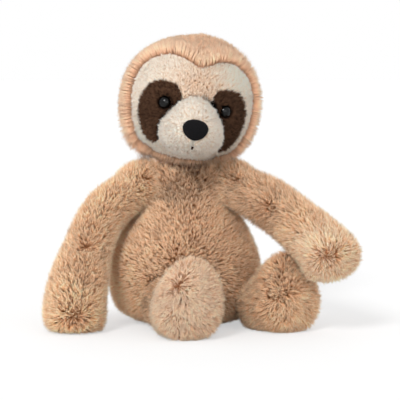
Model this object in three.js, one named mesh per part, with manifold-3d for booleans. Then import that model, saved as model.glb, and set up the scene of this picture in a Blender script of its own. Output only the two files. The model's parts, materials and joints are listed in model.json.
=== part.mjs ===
// A seated plush sloth, in millimetres, +Z up. The toy faces -Y, so its right side is at -X.
// The origin is the middle of the flat seat, on the surface that the toy sits on.
import * as THREE from 'three';
import { mergeVertices } from 'three/addons/utils/BufferGeometryUtils.js';
import Module from 'manifold-3d';

const wasm = await Module();
wasm.setup();

// Fabric, thread and fit
const PLUSH_DEPTH = 5.5; // long pile with its backing, on the hood, body and limbs
const NAP_DEPTH = 2.5; // short pile with its backing, on the face
const RIM_STEP = 3; // how far the short pile lies below the hood's long pile
const FIT_GAP = 0.3; // clearance between pieces that touch
const THREAD_DIAMETER = 1;
const SOCKET_GAP = THREAD_DIAMETER + 2 * FIT_GAP; // a seam thread lies in a limb's socket
const FLAT_CUT = 0.5; // how deep the soft forms are pressed flat where they rest
const OVERRUN = 60; // how far cutting tools run past what they cut
const WHOLE_REACH = 4 * OVERRUN; // past the whole toy, from its middle
const MERGE_DISTANCE = 1e-4; // points closer than this are one point

// Body
const BODY_HEIGHT = 114;
const BODY_HALF_WIDTH = 52.5;
const BODY_HALF_DEPTH = 45;
const BODY_SHARES = [
  // height, half width and half depth, as shares of the body's own
  [0, 0.7, 0.7],
  [0.05, 0.86, 0.86],
  [0.14, 0.97, 0.96],
  [0.28, 1, 1],
  [0.42, 0.97, 0.97],
  [0.55, 0.87, 0.88],
  [0.7, 0.71, 0.75],
  [0.84, 0.59, 0.62],
  [0.95, 0.54, 0.55],
  [1, 0.51, 0.52],
];
const BODY_LEAN_SHARE = 0.02; // how far back the top sits, as a share of the height
const SIDE_SEAM_Y = 6; // the side seams run a little behind the middle
const SEAT_SEAM_HEIGHT = 9; // the front panels end above the seat
const CHEST_SEAM_X = 4; // the seam between the front panels, pulled towards the toy's left
const POUCH_X = -5; // clear of both hips
const POUCH_Y = 10;
const POUCH_RADIUS = 21.5;
const POUCH_THICKNESS = 14;

// Neck: the head turns, tilts and nods about a point above the body
const NECK_SIDE = 1; // towards the toy's left
const NECK_FORWARD = 3;
const NECK_RISE = 36;
const NECK_POINT = new THREE.Vector3(NECK_SIDE, -NECK_FORWARD, BODY_HEIGHT + NECK_RISE);
const NECK_DROP = 13; // from the head's middle down to that point
const GATHER_ANGLE = 10; // degrees from straight down, seen from the neck's point
const SEAM_ANGLE = 34; // the same, from the head's own axis

// Head, in its own frame: the origin is the middle of the head
const HEAD_TURN = 7; // degrees, towards the toy's left
const HEAD_TILT = 9; // degrees, the top leaning towards the toy's left
const HEAD_HALF_WIDTH = 50;
const HEAD_UPPER_HEIGHT = 44;
const HEAD_LOWER_HEIGHT = 46.5;
const HEAD_FRONT_DEPTH = 44;
const HEAD_BACK_DEPTH = 42;
const NECK_RADIUS_SHARE = 0.82; // of the head's half width
const NECK_RADIUS = NECK_RADIUS_SHARE * HEAD_HALF_WIDTH; // the round underside, on the body's top
const NECK_OPENING_RADIUS = 14; // where the head is filled, closed by the neck seam
const HEAD_SHARES = [
  // height, half width and half depth, as shares of the head's own
  [-1, 0.3, 0.3],
  [-0.93, 0.57, 0.57],
  [-0.8, 0.77, 0.77],
  [-0.6, 0.91, 0.91],
  [-0.3, 0.99, 0.99],
  [0, 1, 1],
  [0.27, 0.95, 0.96],
  [0.53, 0.84, 0.86],
  [0.75, 0.67, 0.7],
  [0.91, 0.46, 0.48],
  [1, 0.16, 0.17],
];

// Face panel: its outline from the front, as shares of the head's half width and lower height.
// The list runs from the peak between the brows round the toy's left side to the chin.
const FACE_SHARES = [
  [0, 0.46],
  [0.1, 0.5],
  [0.25, 0.57],
  [0.42, 0.59],
  [0.6, 0.52],
  [0.75, 0.38],
  [0.85, 0.12],
  [0.86, -0.15],
  [0.8, -0.46],
  [0.66, -0.74],
  [0.45, -0.91],
  [0.18, -0.98],
];
const FACE_BACK_Y = -12; // the face panel ends this far in front of the head's middle

// Eye patch: its outline from the front, in the same shares, on the toy's left
const PATCH_SHARES = [
  [0.2, -0.04],
  [0.27, 0.11],
  [0.44, 0.165],
  [0.6, 0.12],
  [0.7, -0.04],
  [0.73, -0.25],
  [0.67, -0.5],
  [0.55, -0.69],
  [0.43, -0.73],
  [0.36, -0.56],
  [0.3, -0.36],
  [0.24, -0.18],
];

// Muzzle
const MUZZLE_HALF_WIDTH = 22;
const MUZZLE_HALF_HEIGHT = 21.5;
const MUZZLE_TAPER_SHARE = 0.3; // how much wider the muzzle is below than above
const MUZZLE_CENTRE_Z = -20; // below the head's middle
const MUZZLE_ROOT_Y = -26; // inside the head
const MUZZLE_REACH = 35; // from its root to its tip
const MUZZLE_SHARES = [
  // reach and half width, as shares of the muzzle's own
  [0, 0.97],
  [0.35, 1],
  [0.58, 0.94],
  [0.76, 0.79],
  [0.9, 0.56],
  [0.98, 0.26],
];

// Nose and mouth
const NOSE_HALF_WIDTH = 8.9;
const NOSE_HALF_HEIGHT = 7.3;
const NOSE_HALF_DEPTH = 6;
const NOSE_TAPER_SHARE = 0.24; // how much wider the nose is above than below
const NOSE_DROP = 1.5; // below the muzzle's middle
const NOSE_SINK = 3; // how far the nose's middle lies inside the muzzle's tip
const STITCH_RADIUS = 1.3;
const STITCH_HALF_LENGTH = 1.8;
const STITCH_DROP = 14.2; // below the muzzle's middle
const STITCH_SINK_SHARE = 0.2; // how much of the stitch's radius is pressed into the pile

// Eyes
const EYE_X = 21.4; // from the middle of the face
const EYE_Z = -6.4;
const EYE_RADIUS = 4.2;
const EYE_HEIGHT = 3.2;
const SHANK_RADIUS = 1.5;
const SHANK_LENGTH = 13;
const WASHER_RADIUS = 4;
const WASHER_THICKNESS = 1.4;
const WASHER_DROP = 1.3; // below the plush's back, which curves

// Arms: the shoulder as shares of the body's half width, half depth and height, then the middle
// line's points, measured from the shoulder, as shares of the arm's length
const ARM_LENGTH = 120;
const ARM_ROOT_RADIUS = 17;
const ARM_SHARES = [
  // place along the arm and radius as a share of the root's
  [0, 1],
  [0.07, 0.9],
  [0.2, 0.92],
  [0.45, 0.97],
  [0.7, 1.08],
  [0.9, 1.2],
  [1, 1.2],
];
const PAW_ROUND = 13; // length of the paw's rounded end
const RIGHT_SHOULDER_SHARES = [-0.6667, -0.1778, 0.8509];
const RIGHT_ARM_SHARES = [
  [0, 0, 0],
  [-0.175, -0.1, -0.121],
  [-0.283, -0.217, -0.317],
  [-0.34, -0.317, -0.55],
  [-0.358, -0.367, -0.838],
];
const LEFT_SHOULDER_SHARES = [0.6667, -0.1333, 0.8596];
const LEFT_ARM_SHARES = [
  [0, 0, 0],
  [0.2, -0.192, -0.092],
  [0.3625, -0.383, -0.196],
  [0.5, -0.542, -0.3125],
  [0.596, -0.658, -0.442],
];

// Legs: each runs level from its hip in its own direction
const LEG_ROOT_RADIUS = 18;
const LEG_ROOT_LIFT = 2.5; // the root's clearance over what the toy sits on
const LEG_LENGTH = 60;
const LEG_LINE_SHARES = [0, 0.5, 1];
const FOOT_HALF_WIDTH = 23.5;
const FOOT_HALF_HEIGHT = 29.5;
const FOOT_TAPER_SHARE = 0.16; // how much wider the foot is below than above
const FOOT_PRESS = 3; // how much of the foot's heel is pressed flat
const LEG_SHARES = [
  // place along the leg, half width and half height as shares of the foot's, then shares of the
  // root's lift and of the foot's taper
  [0, 0.77, 0.6, 1, 0],
  [0.15, 0.66, 0.55, 1, 0],
  [0.35, 0.745, 0.63, 0, 0.5],
  [0.55, 0.92, 0.86, 0, 1],
  [0.75, 1, 1, 0, 1],
  [1, 1, 1, 0, 1],
];
const SOLE_ROUND = 14; // length of the foot's rounded end
const FOOT_ROLL = 8; // degrees, the toes leaning outwards
const HIP_HEIGHT = LEG_ROOT_RADIUS + LEG_ROOT_LIFT - FLAT_CUT;
const RIGHT_HIP_SHARES = [-0.2286, -0.9333]; // of the body's half width and half depth
const RIGHT_LEG_HEADING = 19; // degrees from straight ahead, towards the toy's left
const LEFT_HIP_SHARES = [0.8381, -0.2667];
const LEFT_LEG_HEADING = 35;

// How finely the forms are made: sides and rings on the outside, and inside
const BODY_MESH = { outer: [22, 12], inner: [16, 9] };
const HEAD_MESH = { outer: [24, 13], inner: [16, 10] };
const MUZZLE_MESH = { outer: [18, 7], inner: [14, 5] };
const LIMB_MESH = { outer: [14, 7], inner: [10, 5] };
const LIMB_THREAD_ANGLE = 55; // degrees from the line that points into the body
const ROOT_OPENING_SHARE = 0.5; // of the root's radius
const END_RINGS = 3; // rings in a limb's rounded root and tip
const ROOT_START_SHARE = 0.4; // of the step between two rings
const TIP_STOP_SHARE = 0.2;
const BALL_SIDES = 18;
const SMALL_SIDES = 16;
const NOSE_MESH = [18, 6];
const NOSE_START_SHARE = 0.5;
const EYE_STEPS = 5;
const STITCH_MESH = [10, 8];
const SURFACE_ROWS = 40; // rows searched for a height on the muzzle
const THREAD_MESH = [4, 18];
const OUTLINE_STEPS = 4; // steps between two points of an outline

// Colours
const BEIGE = 0xcaa27c;
const CREAM = 0xdcc5ac;
const DARK_BROWN = 0x38231a;
const BLACK = 0x141416;
const WHITE_FIBRE = 0xf2f0ea;
const POUCH_GREY = 0xc9c9c4;
const WASHER_WHITE = 0xe6e6e0;
const THREAD_TAN = 0xb08a68;
const MATT = 1;
const SATIN = 0.5;
const GLOSSY = 0.1;

// The manifold solid of a closed geometry.
function solidOf(geometry) {
  const bare = geometry.clone();
  bare.deleteAttribute('normal');
  bare.deleteAttribute('uv');
  const merged = mergeVertices(bare, MERGE_DISTANCE);
  return new wasm.Manifold(
    new wasm.Mesh({
      numProp: 3,
      vertProperties: merged.attributes.position.array,
      triVerts: new Uint32Array(merged.index.array),
    }),
  );
}

function geometryOf(solid) {
  const { vertProperties, triVerts } = solid.getMesh();
  const geometry = new THREE.BufferGeometry();
  geometry.setAttribute('position', new THREE.BufferAttribute(new Float32Array(vertProperties), 3));
  geometry.setIndex(new THREE.BufferAttribute(new Uint32Array(triVerts), 1));
  return geometry;
}

// A closed form through rings of equally many points. Each ring runs anticlockwise, seen from the end.
function loft(rings) {
  const points = rings.flat();
  const sides = rings[0].length;
  const faces = [];
  for (let ring = 0; ring + 1 < rings.length; ring++) {
    for (let side = 0; side < sides; side++) {
      const here = ring * sides + side;
      const next = ring * sides + ((side + 1) % sides);
      faces.push(here, next, next + sides, here, next + sides, here + sides);
    }
  }
  addCap(points, faces, 0, sides, false);
  addCap(points, faces, (rings.length - 1) * sides, sides, true);
  const geometry = new THREE.BufferGeometry().setFromPoints(points);
  geometry.setIndex(faces);
  return solidOf(geometry);
}

function addCap(points, faces, first, sides, atEnd) {
  const middle = new THREE.Vector3();
  for (let side = 0; side < sides; side++) middle.add(points[first + side]);
  points.push(middle.divideScalar(sides));
  for (let side = 0; side < sides; side++) {
    const here = first + side;
    const next = first + ((side + 1) % sides);
    faces.push(points.length - 1, ...(atEnd ? [here, next] : [next, here]));
  }
}

// A ring of points round a centre, where across and up are the two half axes. With a taper it is
// wider above by that share, and narrower below.
function ringAt(centre, across, up, sides, taperShare = 0) {
  const ring = [];
  for (let side = 0; side < sides; side++) {
    const angle = (2 * Math.PI * side) / sides;
    const width = Math.cos(angle) * (1 + taperShare * Math.sin(angle));
    ring.push(centre.clone().addScaledVector(across, width).addScaledVector(up, Math.sin(angle)));
  }
  return ring;
}

// Points of a smooth curve through the rows of a share table, evenly many between each two rows.
function smoothRows(table, count) {
  const curve = new THREE.CatmullRomCurve3(table.map((row) => new THREE.Vector3(...row)));
  return curve.getPoints(count - 1);
}

// One row of a share table at a place between its first and last row.
function rowAt(table, place) {
  const last = table.length - 1;
  let step = 0;
  while (step < last - 1 && table[step + 1][0] < place) step++;
  const [low, high] = [table[step], table[step + 1]];
  const share = THREE.MathUtils.clamp((place - low[0]) / (high[0] - low[0]), 0, 1);
  const eased = THREE.MathUtils.smoothstep(share, 0, 1);
  return low.map((value, column) => THREE.MathUtils.lerp(value, high[column], eased));
}

// A ball whose flat faces all lie on or outside its radius, for cutting sockets.
function socketBall(centre, radius, sides = BALL_SIDES) {
  const rows = sides / 2;
  const facing = Math.cos(Math.PI / sides) * Math.cos(Math.PI / (2 * rows));
  const ball = new THREE.SphereGeometry(radius / facing, sides, rows);
  return solidOf(ball.translate(centre.x, centre.y, centre.z));
}

function box(low, high) {
  const size = high.clone().sub(low);
  const middle = low.clone().add(high).divideScalar(2);
  return solidOf(new THREE.BoxGeometry(size.x, size.y, size.z).translate(middle.x, middle.y, middle.z));
}

// Everything above the surface that the toy sits on.
function aboveSeat() {
  const high = new THREE.Vector3(WHOLE_REACH, WHOLE_REACH, WHOLE_REACH);
  return box(new THREE.Vector3(-WHOLE_REACH, -WHOLE_REACH, 0), high);
}

// A point on the body, from shares of its half width, half depth and height.
function onBody([x, y, z]) {
  return new THREE.Vector3(x * BODY_HALF_WIDTH, y * BODY_HALF_DEPTH, z * BODY_HEIGHT);
}

function inHeadFrame(solid) {
  const turned = geometryOf(solid).applyMatrix4(headMatrix);
  return solidOf(turned);
}

const degrees = THREE.MathUtils.degToRad;
const headMatrix = new THREE.Matrix4()
  .makeTranslation(NECK_POINT)
  .multiply(new THREE.Matrix4().makeRotationZ(degrees(HEAD_TURN)))
  .multiply(new THREE.Matrix4().makeRotationY(degrees(HEAD_TILT)))
  .multiply(new THREE.Matrix4().makeTranslation(0, 0, NECK_DROP));

const part = new THREE.Group();

function addPiece(name, solid, color, roughness = MATT) {
  const material = new THREE.MeshStandardMaterial({ color, roughness, metalness: 0 });
  const mesh = new THREE.Mesh(geometryOf(solid), material);
  mesh.name = name;
  part.add(mesh);
}

// Limbs

// A limb's outer form, drawn in by inset. Its root is a ball round the pivot, so that it turns in
// its socket, and its tip is rounded.
function limbForm(limb, inset) {
  const [sides, steps] = inset > 0 ? LIMB_MESH.inner : LIMB_MESH.outer;
  const points = limb.line.map((point) => new THREE.Vector3(...point).add(limb.pivot));
  const line = new THREE.CatmullRomCurve3(points);
  const length = line.getLength();
  const root = limb.rootRadius - inset;
  const tipStart = length - limb.tipRound;
  const tipReach = limb.tipRound - inset;
  const start = line.getTangentAt(0);
  const rings = [];
  for (let step = 0; step < END_RINGS; step++) {
    const angle = ((step + ROOT_START_SHARE) / END_RINGS) * (Math.PI / 2);
    const centre = limb.pivot.clone().addScaledVector(start, -root * Math.cos(angle));
    const radius = root * Math.sin(angle);
    rings.push(ringAt(centre, ...halfAxes(limb, start, radius, radius, 0), sides));
  }
  const addRing = (along, scale) => {
    const share = along / length;
    const centre = line.getPointAt(share);
    const { across, up, rise, taperShare } = limb.section(share);
    centre.z += rise;
    const heading = line.getTangentAt(share);
    const roll = limb.roll * THREE.MathUtils.smoothstep(share, 0, 1);
    const axes = halfAxes(limb, heading, (across - inset) * scale, (up - inset) * scale, roll);
    rings.push(ringAt(centre, ...axes, sides, taperShare));
  };
  for (let step = 0; step <= steps; step++) addRing((tipStart * step) / steps, 1);
  for (let step = 1; step <= END_RINGS; step++) {
    const angle = ((step - TIP_STOP_SHARE) / END_RINGS) * (Math.PI / 2);
    addRing(tipStart + tipReach * Math.sin(angle), Math.cos(angle));
  }
  return loft(rings);
}

// The two half axes of a limb's section, square to its heading.
function halfAxes(limb, heading, across, up, roll) {
  const upward = limb.upward.clone().addScaledVector(heading, -limb.upward.dot(heading)).normalize();
  const sideways = upward.clone().cross(heading);
  const turn = new THREE.Quaternion().setFromAxisAngle(heading, roll);
  return [
    sideways.applyQuaternion(turn).multiplyScalar(across),
    upward.applyQuaternion(turn).multiplyScalar(up),
  ];
}

function armLimb(name, shoulderShares, lineShares) {
  const pivot = onBody(shoulderShares);
  const line = lineShares.map((point) => point.map((share) => share * ARM_LENGTH));
  const section = (share) => {
    const radius = rowAt(ARM_SHARES, share)[1] * ARM_ROOT_RADIUS;
    return { across: radius, up: radius, rise: 0, taperShare: 0 };
  };
  const upward = new THREE.Vector3(0, 1, 0);
  return { name, pivot, line, section, upward, roll: 0, rootRadius: ARM_ROOT_RADIUS, tipRound: PAW_ROUND };
}

function legLimb(name, hipShares, heading, roll) {
  const pivot = onBody([...hipShares, 0]).setZ(HIP_HEIGHT);
  const toFoot = new THREE.Vector3(Math.sin(degrees(heading)), -Math.cos(degrees(heading)), 0);
  const line = LEG_LINE_SHARES.map((share) => toFoot.clone().multiplyScalar(share * LEG_LENGTH).toArray());
  const section = (share) => {
    const [, widthShare, heightShare, liftShare, taper] = rowAt(LEG_SHARES, share);
    const up = heightShare * FOOT_HALF_HEIGHT;
    const bottom = THREE.MathUtils.lerp(-FOOT_PRESS, LEG_ROOT_LIFT - FLAT_CUT, liftShare);
    const rise = bottom + up - HIP_HEIGHT;
    return { across: widthShare * FOOT_HALF_WIDTH, up, rise, taperShare: -taper * FOOT_TAPER_SHARE };
  };
  const upward = new THREE.Vector3(0, 0, 1);
  return { name, pivot, line, section, upward, roll, rootRadius: LEG_ROOT_RADIUS, tipRound: SOLE_ROUND };
}

const limbs = [
  armLimb('right_arm', RIGHT_SHOULDER_SHARES, RIGHT_ARM_SHARES),
  armLimb('left_arm', LEFT_SHOULDER_SHARES, LEFT_ARM_SHARES),
  legLimb('right_leg', RIGHT_HIP_SHARES, RIGHT_LEG_HEADING, degrees(FOOT_ROLL)),
  legLimb('left_leg', LEFT_HIP_SHARES, LEFT_LEG_HEADING, degrees(-FOOT_ROLL)),
];

// A skin is open at its root, where the limb is filled and sewn shut.
function rootOpening(limb) {
  const radius = limb.rootRadius * ROOT_OPENING_SHARE;
  const reach = limb.rootRadius + OVERRUN;
  const tube = new THREE.CylinderGeometry(radius, radius, reach, SMALL_SIDES).translate(0, -reach / 2, 0);
  const start = new THREE.Vector3(...limb.line[1]).normalize();
  const turn = new THREE.Quaternion().setFromUnitVectors(new THREE.Vector3(0, 1, 0), start);
  return solidOf(tube.applyQuaternion(turn).translate(limb.pivot.x, limb.pivot.y, limb.pivot.z));
}

function addLimb(limb) {
  const outer = limbForm(limb, 0).intersect(aboveSeat());
  const inner = limbForm(limb, PLUSH_DEPTH);
  const skin = outer.subtract(inner).subtract(rootOpening(limb));
  addPiece(`${limb.name}_skin`, skin, BEIGE);
  addPiece(`${limb.name}_stuffing`, limbForm(limb, PLUSH_DEPTH + FIT_GAP), WHITE_FIBRE);
}

// A ring of thread that lies in the gap between a ball and its socket. The angle is measured
// from the ring's axis, and the ring turns freely with the ball.
function threadRing(pivot, ballRadius, axis, angle) {
  const middle = ballRadius + SOCKET_GAP / 2;
  const ring = new THREE.TorusGeometry(middle * Math.sin(angle), THREAD_DIAMETER / 2, ...THREAD_MESH);
  ring.translate(0, 0, middle * Math.cos(angle));
  const upward = new THREE.Vector3(0, 0, 1);
  const turn = new THREE.Quaternion().setFromUnitVectors(upward, axis.clone().normalize());
  return solidOf(ring.applyQuaternion(turn).translate(pivot.x, pivot.y, pivot.z));
}

// Body

function bodyForm(inset) {
  const [sides, count] = inset > 0 ? BODY_MESH.inner : BODY_MESH.outer;
  const rings = smoothRows(BODY_SHARES, count).map((row) => {
    const height = THREE.MathUtils.lerp(inset - FLAT_CUT, BODY_HEIGHT - inset, row.x);
    const across = new THREE.Vector3(BODY_HALF_WIDTH * row.y - inset, 0, 0);
    const back = new THREE.Vector3(0, BODY_HALF_DEPTH * row.z - inset, 0);
    const centre = new THREE.Vector3(0, BODY_LEAN_SHARE * BODY_HEIGHT * row.x, height);
    return ringAt(centre, across, back, sides);
  });
  return loft(rings);
}

// The body with its hollows for the head and the limbs, drawn in by inset.
function bodySolid(inset) {
  let body = bodyForm(inset).subtract(socketBall(NECK_POINT, NECK_RADIUS + SOCKET_GAP + inset));
  for (const limb of limbs) {
    body = body.subtract(socketBall(limb.pivot, limb.rootRadius + SOCKET_GAP + inset));
  }
  return body;
}

// The pouch rests on the seat's plush, in a hollow of the filling that opens downwards.
function pouchForm(clearance) {
  const radius = POUCH_RADIUS + clearance;
  const halfThickness = POUCH_THICKNESS / 2 + clearance;
  const pouch = new THREE.SphereGeometry(1, BALL_SIDES, BALL_SIDES / 2);
  pouch.rotateX(Math.PI / 2);
  const lift = PLUSH_DEPTH - FLAT_CUT + FIT_GAP + POUCH_THICKNESS / 2;
  return solidOf(pouch.scale(radius, radius, halfThickness).translate(POUCH_X, POUCH_Y, lift));
}

// Everything in front of the side seams and above the seat seam, between two places across the
// toy, grown by the clearance.
function frontBetween(lowX, highX, clearance) {
  return box(
    new THREE.Vector3(lowX, -WHOLE_REACH, SEAT_SEAM_HEIGHT - clearance),
    new THREE.Vector3(highX, SIDE_SEAM_Y + clearance, WHOLE_REACH),
  );
}

function addBody() {
  const skin = bodySolid(0).intersect(aboveSeat()).subtract(bodySolid(PLUSH_DEPTH));
  const half = FIT_GAP / 2;
  const rightPanel = frontBetween(-WHOLE_REACH, CHEST_SEAM_X - half, -half);
  const leftPanel = frontBetween(CHEST_SEAM_X + half, WHOLE_REACH, -half);
  addPiece('body_front_right', skin.intersect(rightPanel), BEIGE);
  addPiece('body_front_left', skin.intersect(leftPanel), BEIGE);
  addPiece('body_back', skin.subtract(frontBetween(-WHOLE_REACH, WHOLE_REACH, half)), BEIGE);
  const filling = bodySolid(PLUSH_DEPTH + FIT_GAP);
  addPiece('body_stuffing', filling.subtract(pouchForm(FIT_GAP)), WHITE_FIBRE);
  addPiece('seat_bean_pouch', pouchForm(0), POUCH_GREY);
}

function addNeckThreads() {
  const down = new THREE.Vector3(0, 0, -1);
  const gather = threadRing(NECK_POINT, NECK_RADIUS, down, degrees(GATHER_ANGLE));
  addPiece('neck_gather_thread', gather, THREAD_TAN);
  const headDown = down.clone().transformDirection(headMatrix);
  const seam = threadRing(NECK_POINT, NECK_RADIUS, headDown, degrees(SEAM_ANGLE));
  addPiece('neck_seam_thread', seam, THREAD_TAN);
}

// Head

function headForm(inset) {
  const [sides, count] = inset > RIM_STEP ? HEAD_MESH.inner : HEAD_MESH.outer;
  const rings = smoothRows(HEAD_SHARES, count).map((row) => {
    const reach = (row.x < 0 ? HEAD_LOWER_HEIGHT : HEAD_UPPER_HEIGHT) - inset;
    const middle = new THREE.Vector3(0, 0, row.x * reach);
    const ring = ringAt(middle, new THREE.Vector3(1, 0, 0), new THREE.Vector3(0, 1, 0), sides);
    for (const point of ring) {
      const depth = point.y < 0 ? HEAD_FRONT_DEPTH : HEAD_BACK_DEPTH;
      point.x *= (HEAD_HALF_WIDTH - inset) * row.y;
      point.y *= (depth - inset) * row.z;
    }
    return ring;
  });
  return loft(rings).add(neckForm(inset));
}

// The round underside that sits in the body's hollow, drawn in by inset.
function neckForm(inset) {
  const [sides] = HEAD_MESH.outer;
  const ball = new THREE.SphereGeometry(NECK_RADIUS - inset, sides, sides / 2);
  return solidOf(ball.rotateX(Math.PI / 2).translate(0, 0, -NECK_DROP));
}

// An outline seen from the front, cut right through the front of the head. The outline's points
// are pushed out from its middle by the clearance.
function frontPrism(outline, clearance) {
  const middle = outline.reduce((sum, p) => sum.add(p), new THREE.Vector2()).divideScalar(outline.length);
  const pushed = outline.map((p) => {
    const away = p.clone().sub(middle);
    return p.clone().addScaledVector(away.normalize(), clearance);
  });
  const curve = new THREE.SplineCurve([...pushed, pushed[0]]);
  const shape = new THREE.Shape(curve.getPoints(OUTLINE_STEPS * pushed.length).slice(0, -1));
  const depth = HEAD_FRONT_DEPTH + OVERRUN;
  const prism = new THREE.ExtrudeGeometry(shape, { depth, bevelEnabled: false });
  prism.rotateX(Math.PI / 2).translate(0, FACE_BACK_Y, 0);
  return solidOf(prism);
}

function faceOutline() {
  const half = FACE_SHARES.map(([x, z]) => new THREE.Vector2(x * HEAD_HALF_WIDTH, z * HEAD_LOWER_HEIGHT));
  const mirrored = half.slice(1).reverse().map((p) => new THREE.Vector2(-p.x, p.y));
  return [...half, ...mirrored];
}

function patchOutline(side) {
  return PATCH_SHARES.map(([x, z]) => new THREE.Vector2(side * x * HEAD_HALF_WIDTH, z * HEAD_LOWER_HEIGHT));
}

function muzzleForm(inset) {
  const [sides, count] = inset > 0 ? MUZZLE_MESH.inner : MUZZLE_MESH.outer;
  const rings = muzzleRows(count).map((row) => {
    const centre = new THREE.Vector3(0, MUZZLE_ROOT_Y - row.x * (MUZZLE_REACH - inset), MUZZLE_CENTRE_Z);
    const across = new THREE.Vector3((MUZZLE_HALF_WIDTH - inset) * row.y, 0, 0);
    const up = new THREE.Vector3(0, 0, (MUZZLE_HALF_HEIGHT - inset) * row.y);
    return ringAt(centre, across, up, sides, -MUZZLE_TAPER_SHARE);
  });
  return loft(rings);
}

function muzzleRows(count) {
  return smoothRows(MUZZLE_SHARES.map(([reach, width]) => [reach, width, 0]), count);
}

// The opening that the head is filled through.
function neckOpening() {
  const reach = NECK_RADIUS + OVERRUN;
  const tube = new THREE.CylinderGeometry(NECK_OPENING_RADIUS, NECK_OPENING_RADIUS, reach, BALL_SIDES);
  return solidOf(tube.rotateX(Math.PI / 2).translate(0, 0, -NECK_DROP - reach / 2));
}

// The place where an eye stands on the short pile, and the direction that it looks in.
function eyeSeat(side) {
  const x = side * EYE_X;
  const [width, depth] = [HEAD_HALF_WIDTH - RIM_STEP, HEAD_FRONT_DEPTH - RIM_STEP];
  const y = -depth * Math.sqrt(1 - (x / width) ** 2);
  const out = new THREE.Vector3(x / width ** 2, y / depth ** 2, 0).normalize();
  return { place: new THREE.Vector3(x, y, EYE_Z), out };
}

// A turned piece whose own axis is carried to an eye's seat.
function turnedAtEye(profile, side) {
  const { place, out } = eyeSeat(side);
  const lathe = new THREE.LatheGeometry(profile.map(([r, h]) => new THREE.Vector2(r, h)), SMALL_SIDES);
  const turn = new THREE.Quaternion().setFromUnitVectors(new THREE.Vector3(0, 1, 0), out);
  return solidOf(lathe.applyQuaternion(turn).translate(place.x, place.y, place.z));
}

function eyeProfile() {
  const profile = [[0, -SHANK_LENGTH], [SHANK_RADIUS, -SHANK_LENGTH], [SHANK_RADIUS, FIT_GAP]];
  for (let step = 0; step < EYE_STEPS; step++) {
    const angle = (step / EYE_STEPS) * (Math.PI / 2);
    profile.push([EYE_RADIUS * Math.cos(angle), FIT_GAP + EYE_HEIGHT * Math.sin(angle)]);
  }
  return [...profile, [0, FIT_GAP + EYE_HEIGHT]];
}

// The stretch behind the plush where the washer sits, measured from the eye's seat.
function washerProfile(clearance) {
  const top = -(PLUSH_DEPTH - RIM_STEP) - WASHER_DROP + clearance;
  const bottom = top - WASHER_THICKNESS - 2 * clearance;
  const hole = SHANK_RADIUS + FIT_GAP;
  const rim = WASHER_RADIUS + clearance;
  return [[hole, bottom], [rim, bottom], [rim, top], [hole, top], [hole, bottom]];
}

function shankHole(side) {
  const radius = SHANK_RADIUS + FIT_GAP;
  const bottom = -SHANK_LENGTH - FIT_GAP;
  return turnedAtEye([[0, bottom], [radius, bottom], [radius, OVERRUN], [0, OVERRUN]], side);
}

function washerPocket(side) {
  const profile = washerProfile(FIT_GAP);
  const rim = profile[1][0];
  return turnedAtEye([[0, profile[0][1]], [rim, profile[0][1]], [rim, OVERRUN], [0, OVERRUN]], side);
}

function noseForm() {
  const [sides, steps] = NOSE_MESH;
  const rings = [];
  for (let step = 0; step < steps; step++) {
    const angle = -Math.PI / 2 + ((step + NOSE_START_SHARE) / steps) * Math.PI;
    const y = MUZZLE_ROOT_Y - MUZZLE_REACH + NOSE_SINK - NOSE_HALF_DEPTH * Math.sin(angle);
    const centre = new THREE.Vector3(0, y, MUZZLE_CENTRE_Z - NOSE_DROP);
    const across = new THREE.Vector3(NOSE_HALF_WIDTH * Math.cos(angle), 0, 0);
    const up = new THREE.Vector3(0, 0, NOSE_HALF_HEIGHT * Math.cos(angle));
    rings.push(ringAt(centre, across, up, sides, NOSE_TAPER_SHARE));
  }
  return loft(rings);
}

// The height of the muzzle's surface in front of a point that lies some way below its middle.
function muzzleSurfaceY(drop) {
  const wanted = drop / MUZZLE_HALF_HEIGHT;
  const row = muzzleRows(SURFACE_ROWS).findLast((each) => each.y >= wanted);
  return MUZZLE_ROOT_Y - row.x * MUZZLE_REACH;
}

function stitchForm() {
  const stitch = new THREE.SphereGeometry(1, ...STITCH_MESH);
  stitch.scale(STITCH_RADIUS, STITCH_RADIUS, STITCH_HALF_LENGTH);
  const y = muzzleSurfaceY(STITCH_DROP) + STITCH_SINK_SHARE * STITCH_RADIUS;
  return solidOf(stitch.translate(0, y, MUZZLE_CENTRE_Z - STITCH_DROP));
}

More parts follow.
